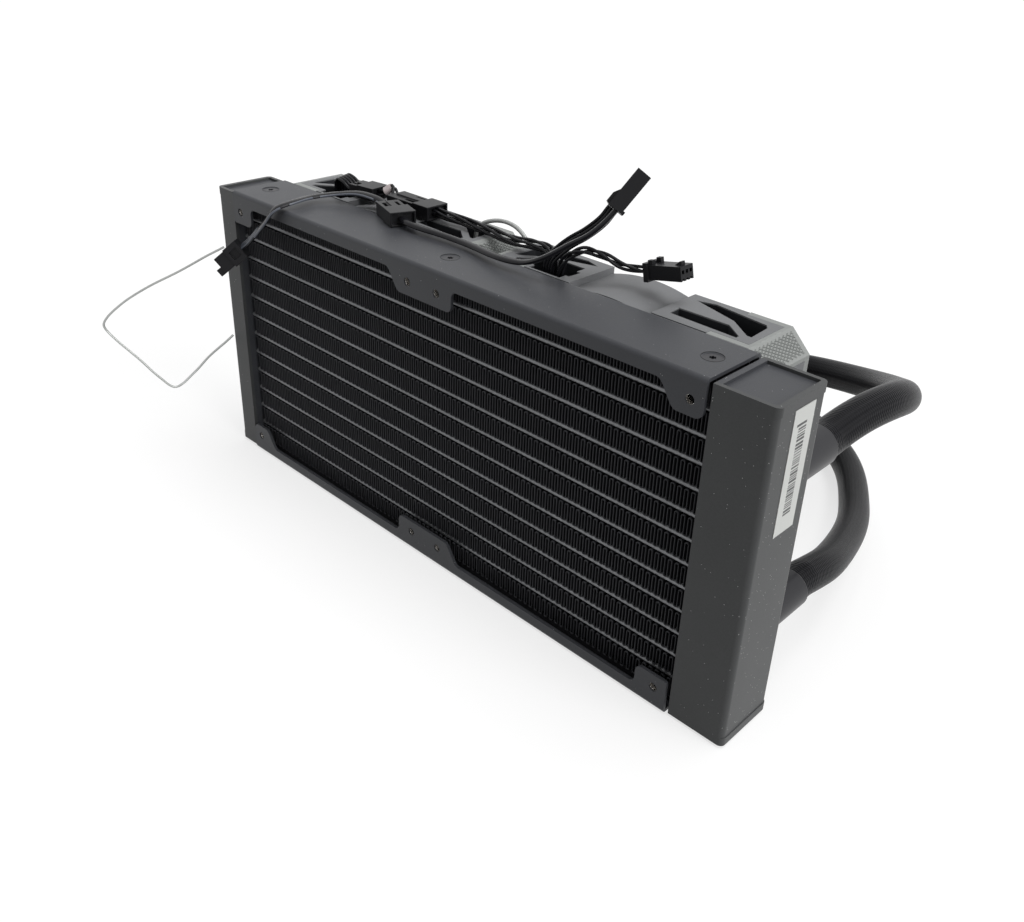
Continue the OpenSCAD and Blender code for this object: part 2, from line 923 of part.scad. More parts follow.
module fan_hub() {
    difference() {
        translate([0, 0, hub_top - hub_h])
            cylinder(r = hub_r, h = hub_h);
        translate([0, 0, hub_top - hub_h - over])
            cylinder(r = hub_r - hub_wall, h = hub_h - hub_wall - 0.5 + over);
    }
    difference() {
        translate([0, 0, bearing_z1 + 0.8])
            cylinder(r = 3.6, h = hub_top - hub_wall - bearing_z1 - 0.8);
        translate([0, 0, bearing_z1])
            cylinder(r = shaft_r, h = shaft_top - bearing_z1);
    }
}

module fan_rotor_ring() {
    r = hub_r - hub_wall;
    z0 = hub_top - hub_h + 0.5;
    translate([0, 0, z0])
        ring(r, r - 2.6, hub_top - hub_wall - 1 - z0);
}

module fan_shaft() {
    translate([0, 0, bearing_z0 + 0.2])
        cylinder(r = shaft_r, h = shaft_top - bearing_z0 - 0.2);
}

module fan_bearing() {
    translate([0, 0, bearing_z0])
        ring(bearing_r, shaft_r + running, bearing_z1 - bearing_z0);
}

// Four poles around the bearing post
module fan_stator() {
    translate([0, 0, bearing_z0 + 3.4])
        linear_extrude(8.5)
            difference() {
                union() {
                    circle(7.5);
                    difference() {
                        circle(stator_r);
                        circle(stator_r - 2.4);
                        for (a = [45, 135])
                            rotate(a)
                                square([2 * stator_r + 2, 3], center = true);
                    }
                    for (a = [0, 90])
                        rotate(a)
                            square([2 * stator_r - 2, 5], center = true);
                }
                circle(bearing_post_r);
            }
}

module fan_circuit_board() {
    translate([0, 0, bearing_z0])
        difference() {
            ring(board_r, bearing_post_r, 1.2);
            translate([board_r - 5, -4, -over])
                cube([6, 8, 1.2 + 2 * over]);
        }
}

module fan_screws() {
    head_r = 2.9;
    head_h = 2.2;
    color(c_dark)
        for (x = hole_x, z = hole_z)
            difference() {
                union() {
                    rod_y(x, z, head_r, washer_y, washer_y + head_h);
                    rod_y(x, z, fan_screw_r, washer_y - fan_screw_l, washer_y + 0.1);
                }
                for (a = [0, 90])
                    translate([x, washer_y + head_h, z])
                        rotate([0, a, 0])
                            cube([3.4, 2.4, 0.8], center = true);
            }
}

// Hoses

module tank_collars() {
    color(c_dark)
        for (z = nipple_z)
            difference() {
                rod_y(nipple_x, z, collar_r, collar_y0, collar_y1);
                rod_y(nipple_x, z, nipple_r, collar_y0 - over, collar_y1 + over);
            }
}

module pump_collars() {
    color(c_dark)
        for (s = [-1, 1])
            translate([hose_end_x - pump_collar_l, pump[1] + s * port_y, port_z])
                rotate([0, 90, 0])
                    ring(collar_r, port_r, pump_collar_l);
}

module hose_upper() {
    color(c_dark)
        cord(route_hose_upper, [0, 1, 0], [-1, 0, 0], hose_od, hose_od, 12);
}

module hose_lower() {
    color(c_dark)
        cord(route_hose_lower, [0, 1, 0], [-1, 0, 0], hose_od, hose_od, 12);
}

// Pump head, drawn around its own axis

module place_pump(z = 0) {
    translate([pump[0], pump[1], z])
        children();
}

module cold_plate() {
    color(c_copper)
        place_pump()
            linear_extrude(cold_t)
                round_rect(cold_side, cold_side, 4);
}

module plate_seal() {
    color(c_dark)
        place_pump(cold_t)
            ring(cold_side / 2 - 2, cold_side / 2 - 5, seal_t);
}

// Block on the housing's right that leads the water to the two ports
module manifold_block() {
    half_w = port_y + 2 * arm_r;
    translate([housing_r - 12, -half_w, manifold_z0])
        cube([port_x - housing_r + 12 + arm_r - 0.5, 2 * half_w, manifold_z1 - manifold_z0]);
}

module pump_housing() {
    color(c_case)
        difference() {
            union() {
                place_pump(housing_z0)
                    cylinder(r = housing_r, h = housing_h);
                place_pump()
                    manifold_block();
            }
            place_pump(housing_z0 + 6)
                cylinder(r = chamber_r, h = 9);
            place_pump(housing_z0 + 14)
                cylinder(r = can_r, h = housing_h);
            place_pump(housing_z0 + 16)
                ring(housing_r - 3, can_r + 1.4, housing_h);
            place_pump(-over)
                cylinder(r = 5, h = housing_z0 + 6 + 2 * over);
            for (s = [-1, 1])
                place_pump(housing_z0 + 12)
                    translate([port_x, s * port_y, 0])
                        cylinder(r = port_r, h = 12);
        }
}

module pump_bracket() {
    reach = bracket_pitch / 2;
    ear_r = 6;
    color(c_metal)
        place_pump(housing_z0 + 1)
            difference() {
                linear_extrude(bracket_t)
                    difference() {
                        union() {
                            circle(housing_r + 6);
                            for (a = [45, 135])
                                rotate(a)
                                    round_rect(2 * (reach * sqrt(2) + ear_r), 2 * ear_r, ear_r - 0.01);
                        }
                        circle(housing_r);
                    }
                for (x = [-1, 1], y = [-1, 1])
                    translate([x * reach, y * reach, -over])
                        cylinder(r = 2.2, h = bracket_t + 2 * over);
            }
}

// Thin can that keeps the water away from the stator
module pump_can() {
    color(c_metal)
        place_pump(housing_z0 + 15)
            difference() {
                cylinder(r = can_r, h = 12);
                translate([0, 0, -over])
                    cylinder(r = can_r - can_wall, h = 11 + over);
            }
}

module impeller() {
    z0 = housing_z0 + 8;
    color(c_case)
        place_pump(z0)
            difference() {
                union() {
                    cylinder(r = impeller_r, h = 1.5);
                    cylinder(r = 4, h = 7.5);
                    translate([0, 0, 7])
                        cylinder(r = 6.8, h = 10);
                    for (i = [0:vane_count - 1])
                        rotate([0, 0, 360 * i / vane_count])
                            translate([3, -0.6, 1])
                                cube([impeller_r - 4, 1.2, 4.5]);
                }
                translate([0, 0, -over])
                    cylinder(r = pin_r + 0.05, h = 20);
            }
}

module impeller_shaft() {
    color(c_white)
        place_pump(housing_z0 + 6)
            cylinder(r = pin_r, h = 20);
}

module pump_stator() {
    color(c_copper)
        place_pump(housing_z0 + 16)
            ring(20, can_r + 1.4, 10);
}

module pump_circuit_board() {
    color(c_board)
        place_pump(housing_z1)
            translate([0, 0, 1])
                cylinder(r = housing_r - 5, h = 1.5);
}

module pump_cover() {
    color(c_case)
        place_pump(housing_z1)
            difference() {
                cylinder(r = housing_r, h = cover_h);
                translate([0, 0, -over])
                    cylinder(r = housing_r - 2.5, h = cover_h - 2.5 + over);
            }
}

module pump_trim_ring() {
    color(c_metal)
        place_pump(housing_z1 + cover_h)
            ring(housing_r, housing_r - 5, 2.5);
}

// Elbows that turn the hoses down into the manifold block
module pump_elbows() {
    top = manifold_z1;
    color(c_case)
        for (s = [-1, 1])
            place_pump()
                translate([port_x, s * port_y, 0])
                    difference() {
                        union() {
                            translate([0, 0, top])
                                cylinder(r = arm_r, h = port_z - top);
                            translate([0, 0, port_z])
                                sphere(r = arm_r);
                            translate([0, 0, port_z])
                                rotate([0, 90, 0])
                                    cylinder(r = arm_r, h = elbow_l);
                            translate([0, 0, port_z])
                                rotate([0, 90, 0])
                                    cylinder(r = port_r, h = elbow_l + pump_collar_l - 1);
                        }
                        translate([0, 0, top - over])
                            cylinder(r = 3.2, h = port_z - top + over);
                        translate([0, 0, port_z])
                            rotate([0, 90, 0])
                                cylinder(r = 3.2, h = elbow_l + pump_collar_l + over);
                    }
}

// Plugs and couplers

// Square holes for the contacts in the end of a housing of length l
module contact_holes(pins, pitch, y, size, l) {
    for (i = [0:pins - 1])
        translate([(i - (pins - 1) / 2) * pitch - size / 2, y - size / 2, l - 6])
            cube([size, size, 6 + over]);
}

// A slim housing with its cord entry at z = 0 and a raised latch at that end
module plug_four_pin() {
    w = 10.6;
    t = 5.2;
    l = 14.5;
    color(c_dark)
        aim([50.5, 39, 145], [4, 7.5, 10.2], 74)
            difference() {
                union() {
                    translate([-w / 2, -t / 2, 0])
                        cube([w, t, l]);
                    along_x(-3.6, 7.2)
                        polygon([[t / 2 - 0.1, 0], [t / 2 + 1.2, 0.5], [t / 2 + 1.2, 3.8], [t / 2 - 0.1, 6.2]]);
                    translate([-w / 2, -t / 2 - 0.7, 0])
                        cube([w, 0.8, 1.2]);
                }
                contact_holes(4, contact_pitch, 0, 1.6, l);
            }
}

// A housing with a flange at its cord entry, two posts, a nib and three contacts
module plug_three_pin() {
    w = 6.4;
    t = 4.8;
    l = 14.6;
    color(c_dark)
        aim([66, 40.5, 128.2], [0.97, -0.02, 0.22], 90)
            difference() {
                union() {
                    translate([-w / 2, -t / 2, 0])
                        cube([w, t, l]);
                    translate([-w / 2 - 0.7, -t / 2 - 0.7, 0])
                        cube([w + 1.4, t + 1.4, 1.8]);
                    for (x = [-2.2, 2.2])
                        translate([x - 0.8, t / 2 - 0.1, 1.7])
                            cube([1.6, 1.7, 1.8]);
                    along_x(-0.9, 1.8)
                        polygon([
                            [t / 2 - 0.1, l - 4], [t / 2 + 1.2, l - 2], [t / 2 + 1.2, l - 1.2], [t / 2 - 0.1, l - 1.2]
                        ]);
                }
                contact_holes(3, small_pitch, 0.5, 1.2, l);
                for (x = [-1, 0, 1])
                    translate([x * small_pitch - 0.5, -t / 2 - over, l - 1.2])
                        cube([1, 0.8 + over, 1.2 + over]);
            }
}

// Two halves of a connector, latched together, that lie along X and end at x = 0
module coupler(l, w, h) {
    sleeve_l = 9;
    step = 0.6;
    slot_w = 1.3;
    slot_l = 6;
    difference() {
        union() {
            translate([-sleeve_l, -w / 2, 0])
                cube([sleeve_l, w, h]);
            translate([-l, -w / 2 + step, 0])
                cube([l - sleeve_l + 0.1, w - 2 * step, h - step]);
            translate([-l + 2, -slot_w, 0])
                cube([l - sleeve_l - 1, 2 * slot_w, h]);
        }
        for (y = [-w / 2 + 2, w / 2 - 2 - slot_w])
            translate([-sleeve_l - slot_l - 0.5, y, h - 2.2])
                cube([slot_l, slot_w, 2.2 + over]);
        translate([-1.5, -w / 2 + 0.7, 0.7])
            cube([1.5 + over, w - 1.4, h - 1.4]);
    }
}

module coupler_front() {
    color(c_dark)
        translate([-36.4, 23, rad_h + 0.2])
            rotate([0, 0, -20])
                coupler(18, 10.2, 5.6);
}

module coupler_back() {
    color(c_dark)
        translate([-35, 38.9, rad_h + 0.2])
            coupler(25, 10.4, 5.4);
}

module coupler_left() {
    color(c_dark)
        translate([-69, 38.5, rad_h + 0.2])
            rotate([0, 0, 6])
                coupler(14, 9, 5.2);
}

// A housing with a framed window for its latch and a narrower front with a side tab
module hanging_connector() {
    w = 8.4;
    t = 5.6;
    color(c_dark)
        aim([-103.2, -6, 101.8], [-7.5, -8, -9.5], 8)
            difference() {
                union() {
                    translate([-w / 2, -t / 2, 0])
                        cube([w, t, 6.6]);
                    translate([-w / 2 + 0.4, -t / 2 + 0.4, 6.5])
                        cube([w - 1.2, t - 1, 5.6]);
                    translate([0.2, -t / 2 + 0.8, 12])
                        cube([w / 2 - 1, t - 1.8, 2.6]);
                }
                translate([-1.9, t / 2 - 1.3, 1.4])
                    cube([3.8, 1.3 + over, 3.8]);
                translate([-2.9, -t / 2 - over, 8])
                    cube([1.2, 1.6 + over, 3]);
            }
}

// Cables

module lead_four_wire() {
    color(c_dark)
        cord(route_lead_four, [0, 0, 1], [4, 7.5, 10.2], lead_four_d, lead_four_d, 8, [0, 1, 0]);
}

module lead_three_wire() {
    color(c_dark)
        cord(route_lead_three, [0, 0, 1], [0.97, -0.02, 0.22], lead_three_d, lead_three_d, 8, [0, 1, 0]);
}

module link_cable() {
    color(c_dark)
        cord(route_link, [0.94, -0.34, 0], [4, 7.5, 10.2], link_d, link_d, 8);
}

module back_lead() {
    color(c_dark)
        cord(route_back, [1, 0, 0], [0, 0, -1], back_lead_d, back_lead_d, 8, [0, 1, 0]);
}

module ribbon_lead() {
    color(c_dark)
        cord(route_ribbon, [-0.95, 0.31, 0], [-7.5, -8, -9.5], ribbon_w, ribbon_t, 8);
}

module left_fan_leads() {
    color(c_dark)
        cord(route_left_leads, [0, 0, 1], [1, 0.1, 0], left_leads_w, left_leads_t, 8, [-1, 0, 0]);
}

module loop_lead() {
    color(c_dark)
        cord(route_loop, [1, 0.1, 0], [1, 0, 0], loop_lead_d, loop_lead_d, 8);
}

module grey_wire() {
    color(c_pad)
        cord(route_grey_wire, [0, 0, 1], [0, 0, -1], grey_wire_d, grey_wire_d, 8, [0, 1, 0]);
}

module stiff_wire() {
    color(c_pad)
        cord(route_stiff_wire, [-1, -1.6, -1], [0.2, 1, 0.8], stiff_wire_d, stiff_wire_d, 8);
}

core_tubes();
core_fins();
core_strips();
header_plates();
tank_left();
tank_right();
tank_caps();
tank_divider();
hose_nipples();
side_plate_top();
side_plate_bottom();
side_plate_screws();
tank_label();
color(c_frame) place_fan(-fan_x) fan_frame();  // fan_left_frame
color(c_pad) place_fan(-fan_x) fan_pads();  // fan_left_pads
color(c_frame) place_fan(-fan_x) fan_hub();  // fan_left_hub
color(c_frame) place_fan(-fan_x) fan_blades();  // fan_left_blades
color(c_metal) place_fan(-fan_x) fan_rotor_ring();  // fan_left_rotor_ring
color(c_metal) place_fan(-fan_x) fan_shaft();  // fan_left_shaft
color(c_frame) place_fan(fan_x) fan_frame();  // fan_right_frame
color(c_pad) place_fan(fan_x) fan_pads();  // fan_right_pads
color(c_frame) place_fan(fan_x) fan_hub();  // fan_right_hub
color(c_frame) place_fan(fan_x) fan_blades();  // fan_right_blades
color(c_metal) place_fan(fan_x) fan_rotor_ring();  // fan_right_rotor_ring
color(c_metal) place_fan(fan_x) fan_shaft();  // fan_right_shaft
color(c_copper) both_fans() fan_bearing();  // fan_bearings
color(c_copper) both_fans() fan_stator();  // fan_stators
color(c_board) both_fans() fan_circuit_board();  // fan_circuit_boards
fan_screws();
tank_collars();
pump_collars();
hose_upper();
hose_lower();
cold_plate();
plate_seal();
pump_housing();
pump_bracket();
pump_can();
impeller();
impeller_shaft();
pump_stator();
pump_circuit_board();
pump_cover();
pump_trim_ring();
pump_elbows();
plug_four_pin();
plug_three_pin();
coupler_front();
coupler_back();
coupler_left();
hanging_connector();
lead_four_wire();
lead_three_wire();
link_cable();
back_lead();
ribbon_lead();
left_fan_leads();
loop_lead();
grey_wire();
stiff_wire();
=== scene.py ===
import math
import random

import bpy
from mathutils import Euler, Matrix, Vector


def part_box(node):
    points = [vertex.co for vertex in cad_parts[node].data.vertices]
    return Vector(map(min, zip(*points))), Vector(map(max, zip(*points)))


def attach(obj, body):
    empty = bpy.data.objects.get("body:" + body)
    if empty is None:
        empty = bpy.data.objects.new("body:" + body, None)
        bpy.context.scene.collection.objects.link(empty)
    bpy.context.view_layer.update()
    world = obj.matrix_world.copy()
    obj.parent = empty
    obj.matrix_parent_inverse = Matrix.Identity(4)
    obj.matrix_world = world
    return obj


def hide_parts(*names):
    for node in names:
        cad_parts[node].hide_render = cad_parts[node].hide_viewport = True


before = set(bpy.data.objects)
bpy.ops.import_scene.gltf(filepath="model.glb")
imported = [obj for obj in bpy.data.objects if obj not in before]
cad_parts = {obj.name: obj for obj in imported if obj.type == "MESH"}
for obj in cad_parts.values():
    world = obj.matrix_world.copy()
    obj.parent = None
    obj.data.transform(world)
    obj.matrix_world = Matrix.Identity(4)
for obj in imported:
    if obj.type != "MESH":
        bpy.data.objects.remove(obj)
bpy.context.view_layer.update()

# Sizes are in metres, in the frame of the CAD model: X along the radiator, Y towards the fans, Z up.
MM = 0.001
random.seed(7)
scene = bpy.context.scene

# Camera, at the place from which the photograph was taken
CAMERA_PLACE = (0.24823, -0.21375, 0.23887)
CAMERA_TURN = (62.1836, -2.0608, 44.0456)
CAMERA_LENS = 35.52
CAMERA_SENSOR = 36
CAMERA_SHIFT = (-0.00882, -0.04982)

# Sizes that the model shares with this scene
FAN_X = 60 * MM
FAN_Y = 27 * MM
MID_Z = 60.5 * MM
FAN_HALF = 60 * MM
FAN_DEPTH = 25 * MM
HOSE_D = 12.5 * MM
RADIATOR_DEPTH = 27 * MM
PLATE_SCREW_X = 109.8 * MM


def metres(points):
    """The same points in metres."""
    return [Vector(p) * MM for p in points]


# Routes of the cords, as in the CAD model
ROUTE_HOSE_UPPER = metres([
    (129, 54, 86.5), (129.5, 62, 88), (131, 72, 90), (133, 83, 90.5), (133, 95, 88.5),
    (130.5, 107, 84), (125.5, 120, 78), (118, 134, 71.5), (109, 148, 65), (98, 161, 58.5),
    (85, 171, 53), (70, 178, 48.5), (54, 181, 45), (38, 180, 42), (22, 175, 38.5),
    (8, 167, 35.5), (-6, 158, 33.5), (-18, 151.5, 32.3), (-30, 148, 32),
])
ROUTE_HOSE_LOWER = metres([
    (129, 54, 31.5), (129.5, 64, 30.5), (129, 75, 27.5), (126, 88, 23.5), (122.5, 102, 19.5),
    (118, 118, 15.5), (112, 135, 12), (103.5, 152, 9.5), (94, 169, 8), (82, 184, 7.5),
    (67, 195, 8), (50, 201, 9.5), (33, 202, 13), (17, 198, 18), (2, 190, 23.5),
    (-12, 181.5, 28.5), (-22, 176, 31.3), (-30, 174, 32),
])
ROUTE_LEAD_FOUR = metres([
    (30, 31, 115.5), (30, 31, 120), (30.6, 31.5, 124), (33, 32.5, 127.5), (37, 34, 131.5),
    (42.5, 35.6, 135.8), (47, 37.8, 140.6), (48.5, 40.6, 144.5),
])
ROUTE_LEAD_THREE = metres([
    (35, 31.5, 115.5), (35.2, 31.5, 120), (36.6, 31.5, 125), (39.5, 32, 128.5), (45, 33, 131),
    (51, 34.5, 130.5), (56, 37.5, 128), (60.8, 40, 127.3), (66, 40.5, 128.2),
])
ROUTE_LINK = metres([
    (-37.7, 23.5, 123.9), (-32, 22, 123.6), (-26, 22.3, 123.2), (-16, 23.6, 123),
    (-1, 23.5, 123), (18, 20.2, 124), (28, 20.2, 125.2), (37, 20.5, 129),
    (43.5, 25.5, 134), (48.8, 30.5, 138.4), (52.4, 37.3, 145.4),
])
ROUTE_BACK = metres([
    (-36.4, 38.9, 123.9), (-30, 39.2, 123.7), (-22, 40.2, 123.3), (-8, 40, 123.1),
    (8, 38, 123.6), (18, 37.5, 125), (25, 37, 124.8), (27.6, 37, 121), (28, 37, 115.5),
])
ROUTE_RIBBON = metres([
    (-53.5, 29.3, 123.7), (-57.5, 30.6, 124), (-63, 30.4, 125), (-70.5, 28.2, 125.4),
    (-78, 23.5, 124.3), (-83, 15, 123.4), (-82, 5, 123.3), (-84, -1.8, 121.4),
    (-88.5, -3.2, 116), (-93.5, -3.6, 111.2), (-98.7, -4.6, 105.8), (-103.2, -6, 101.8),
])
ROUTE_LEFT_LEADS = metres([
    (-94.5, 38, 115.5), (-94.5, 38, 121), (-94.3, 37.8, 124), (-92, 37.4, 126), (-87.5, 37, 125.6),
    (-83.2, 37, 123.8),
])
ROUTE_LOOP = metres([
    (-70.4, 38.4, 123.8), (-67.3, 39.6, 124.8), (-65, 41.5, 126.6), (-62.6, 40.6, 125.2), (-60.1, 38.8, 123.7),
])
ROUTE_GREY_WIRE = metres([
    (-18.5, 43, 110), (-18, 43, 118), (-15.5, 43.4, 123), (-8, 44.6, 126), (1, 44, 126.4),
    (7.5, 43.2, 123.8), (9.6, 43, 120.5),
])
ROUTE_STIFF_WIRE = metres([
    (-130.2, 1, 93.5), (-135, -5, 89.5), (-142, -14.5, 83), (-151, -26.5, 75.5),
    (-157.5, -36.5, 68), (-160.5, -43.4, 60.5), (-159, -42, 55.5), (-149, -35, 44.5),
    (-142, -30.5, 37), (-137, -26, 32.6), (-135, -17, 38), (-133.5, -10, 44),
    (-130.2, 1, 52.3),
])


# Helpers for modelling

def deselect():
    bpy.ops.object.select_all(action="DESELECT")


def take(obj):
    """Makes obj the only selected object, and the active one."""
    deselect()
    obj.select_set(True)
    bpy.context.view_layer.objects.active = obj


def settle(obj):
    """Puts an object's place, turn and scale into its mesh."""
    take(obj)
    bpy.ops.object.transform_apply(location=True, rotation=True, scale=True)


def apply_all(obj):
    """Applies every modifier of an object, in order."""
    take(obj)
    for modifier in list(obj.modifiers):
        bpy.ops.object.modifier_apply(modifier=modifier.name)


def smooth(obj, angle=30):
    """Shades an object smooth where its faces meet at less than the angle."""
    take(obj)
    bpy.ops.object.shade_smooth_by_angle(angle=math.radians(angle))


def paint(obj, material):
    """Gives an object one material."""
    obj.data.materials.clear()
    obj.data.materials.append(material)


def paint_node(node, material):
    """Gives a CAD node one material."""
    paint(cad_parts[node], material)


def place(obj, body, slot, *replaced):
    """Lets a finished piece ride on a body, and hides the CAD nodes that it stands for; the slot is not used."""
    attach(obj, body)
    if replaced:
        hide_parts(*replaced)


def join(pieces, name):
    """Joins pieces into the first one."""
    deselect()
    for piece in pieces:
        piece.select_set(True)
    bpy.context.view_layer.objects.active = pieces[0]
    bpy.ops.object.join()
    pieces[0].name = name
    pieces[0].data.name = name
    return pieces[0]


def mesh_piece(name, points, faces, uvs=None):
    """A new object from points and faces, with a UV pair for each corner if given."""
    mesh = bpy.data.meshes.new(name)
    mesh.from_pydata(points, [], faces)
    if uvs is not None:
        layer = mesh.uv_layers.new(name="along")
        for loop, uv in zip(layer.data, uvs):
            loop.uv = uv
    mesh.update()
    obj = bpy.data.objects.new(name, mesh)
    scene.collection.objects.link(obj)
    return obj


def dressed(node, name, material, slot, body="root", width=0.25 * MM, segments=2, angle=30):
    """A copy of a CAD node with its edges rounded, which stands for the node."""
    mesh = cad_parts[node].data.copy()
    obj = bpy.data.objects.new(name, mesh)
    scene.collection.objects.link(obj)
    mesh.name = name
    take(obj)
    bpy.ops.object.mode_set(mode="EDIT")
    bpy.ops.mesh.select_all(action="SELECT")
    bpy.ops.mesh.remove_doubles(threshold=0.002 * MM)
    bpy.ops.mesh.dissolve_limited(angle_limit=math.radians(0.5), use_dissolve_boundaries=False)
    bpy.ops.object.mode_set(mode="OBJECT")
    if width:
        bevel = obj.modifiers.new("rounded edges", "BEVEL")
        bevel.width = width
        bevel.segments = segments
        bevel.limit_method = "ANGLE"
        bevel.angle_limit = math.radians(angle)
        bevel.harden_normals = False
        apply_all(obj)
    smooth(obj, 35)
    flat = obj.modifiers.new("flat faces", "WEIGHTED_NORMAL")
    flat.mode = "FACE_AREA"
    flat.weight = 100
    flat.keep_sharp = True
    apply_all(obj)
    paint(obj, material)
    place(obj, body, slot, node)
    return obj


# Cords

def hermite(p0, p1, m0, m1, t):
    a = 2 * t**3 - 3 * t**2 + 1
    b = t**3 - 2 * t**2 + t
    c = -2 * t**3 + 3 * t**2
    d = t**3 - t**2
    return a * p0 + b * m0 + c * p1 + d * m1


def relaxed(path, rounds):
    """The same path with its small kinks evened out, and its first and last stretch left as they are."""
    for _ in range(rounds):
        moved = list(path)
        for i in range(3, len(path) - 3):
            moved[i] = path[i] * 0.5 + (path[i - 1] + path[i + 1]) * 0.25
        path = moved
    return path


def smooth_path(points, start, end, step, rounds=0):
    """A smooth curve through the points, as a list about one step apart, which leaves and ends as told."""
    n = len(points)
    tangents = []
    for i in range(n):
        if i == 0:
            tangents.append(Vector(start).normalized() * (points[1] - points[0]).length)
        elif i == n - 1:
            tangents.append(Vector(end).normalized() * (points[-1] - points[-2]).length)
        else:
            before = (points[i] - points[i - 1]).length
            after = (points[i + 1] - points[i]).length
            direction = (points[i + 1] - points[i - 1]) / (before + after)
            tangents.append(direction)
    dense = [points[0].copy()]
    for i in range(n - 1):
        gap = (points[i + 1] - points[i]).length
        m0 = tangents[i] if i == 0 else tangents[i] * gap
        m1 = tangents[i + 1] if i == n - 2 else tangents[i + 1] * gap
        parts = max(2, int(round(gap / step)))
        for k in range(1, parts + 1):
            dense.append(hermite(points[i], points[i + 1], m0, m1, k / parts))
    return relaxed(dense, rounds)


def path_length(path):
    return sum((b - a).length for a, b in zip(path, path[1:]))


def path_frames(path, start, end, up):
    """Direction, normal and side vector at each point of a path, carried along without twist."""
    frames = []
    normal = Vector(up)
    last = len(path) - 1
    for i in range(last + 1):
        if i == 0:
            direction = Vector(start).normalized()
        elif i == last:
            direction = Vector(end).normalized()
        else:
            direction = (path[i + 1] - path[i - 1]).normalized()
        normal = (normal - direction * normal.dot(direction)).normalized()
        frames.append((direction, normal, direction.cross(normal)))
    return frames


def sweep(name, path, frames, width, height, sides, offset=None):
    """A closed tube along a path, with U around it and V along it in metres."""
    points = []
    run = [0.0]
    for a, b in zip(path, path[1:]):
        run.append(run[-1] + (b - a).length)
    for i, p in enumerate(path):
        direction, normal, side = frames[i]
        centre = p
        if offset is not None:
            up, across = offset(run[i])
            centre = p + normal * up + side * across
        for k in range(sides):
            a = 2 * math.pi * k / sides
            points.append(centre + normal * math.cos(a) * height / 2 + side * math.sin(a) * width / 2)
    faces = []
    uvs = []
    for i in range(len(path) - 1):
        for k in range(sides):
            j = (k + 1) % sides
            faces.append((i * sides + k, i * sides + j, (i + 1) * sides + j, (i + 1) * sides + k))
            u0, u1 = k / sides, (k + 1) / sides
            uvs += [(u0, run[i]), (u1, run[i]), (u1, run[i + 1]), (u0, run[i + 1])]
    first = list(range(sides - 1, -1, -1))
    final = [(len(path) - 1) * sides + k for k in range(sides)]
    faces += [first, final]
    uvs += [(0.5, 0.0)] * sides + [(0.5, run[-1])] * sides
    obj = mesh_piece(name, points, faces, uvs)
    smooth(obj, 50)
    return obj


# Shader groups

def new_group(name, inputs, outputs):
    """A shader node group with float, colour or vector sockets."""
    tree = bpy.data.node_groups.new(name, "ShaderNodeTree")
    for socket, kind, value in inputs:
        item = tree.interface.new_socket(name=socket, in_out="INPUT", socket_type=kind)
        item.default_value = value
    for socket, kind in outputs:
        tree.interface.new_socket(name=socket, in_out="OUTPUT", socket_type=kind)
    return tree, tree.nodes.new("NodeGroupInput"), tree.nodes.new("NodeGroupOutput")


def math_node(tree, operation, a, b=None, clamp=False):
    """A Math node whose inputs are sockets or numbers."""
    node = tree.nodes.new("ShaderNodeMath")
    node.operation = operation
    node.use_clamp = clamp
    for i, value in enumerate((a, b)):
        if value is None:
            continue
        if isinstance(value, (int, float)):
            node.inputs[i].default_value = value
        else:
            tree.links.new(value, node.inputs[i])
    return node.outputs[0]


def mix_colour(tree, factor, a, b):
    """A colour mix whose inputs are sockets or values."""
    node = tree.nodes.new("ShaderNodeMix")
    node.data_type = "RGBA"
    for socket, value in ((node.inputs["Factor"], factor), (node.inputs[6], a), (node.inputs[7], b)):
        if isinstance(value, (int, float, tuple)):
            socket.default_value = value
        else:
            tree.links.new(value, socket)
    return node.outputs[2]


def grain_group():
    """Fine bumps of a powder coat or a moulded surface, and slow changes of its shade."""
    tree, source, sink = new_group(
        "surface grain",
        [("Vector", "NodeSocketVector", (0, 0, 0)), ("Scale", "NodeSocketFloat", 3000),
         ("Cloud scale", "NodeSocketFloat", 60), ("Colour", "NodeSocketColor", (0.1, 0.1, 0.1, 1)),
         ("Variation", "NodeSocketFloat", 0.2)],
        [("Colour", "NodeSocketColor"), ("Height", "NodeSocketFloat"), ("Cloud", "NodeSocketFloat")],
    )
    fine = tree.nodes.new("ShaderNodeTexNoise")
    fine.inputs["Detail"].default_value = 3
    fine.inputs["Roughness"].default_value = 0.6
    cloud = tree.nodes.new("ShaderNodeTexNoise")
    cloud.inputs["Detail"].default_value = 4
    for node, scale in ((fine, "Scale"), (cloud, "Cloud scale")):
        tree.links.new(source.outputs["Vector"], node.inputs["Vector"])
        tree.links.new(source.outputs[scale], node.inputs["Scale"])
    speck = math_node(tree, "SUBTRACT", fine.outputs["Fac"], 0.5)
    slow = math_node(tree, "SUBTRACT", cloud.outputs["Fac"], 0.5)
    both = math_node(tree, "ADD", math_node(tree, "MULTIPLY", speck, 1.4), slow)
    change = math_node(tree, "MULTIPLY", both, source.outputs["Variation"])
    factor = math_node(tree, "ADD", change, 1.0)
    scaled = tree.nodes.new("ShaderNodeVectorMath")
    scaled.operation = "SCALE"
    tree.links.new(source.outputs["Colour"], scaled.inputs[0])
    tree.links.new(factor, scaled.inputs["Scale"])
    tree.links.new(scaled.outputs[0], sink.inputs["Colour"])
    tree.links.new(fine.outputs["Fac"], sink.inputs["Height"])
    tree.links.new(cloud.outputs["Fac"], sink.inputs["Cloud"])
    return tree


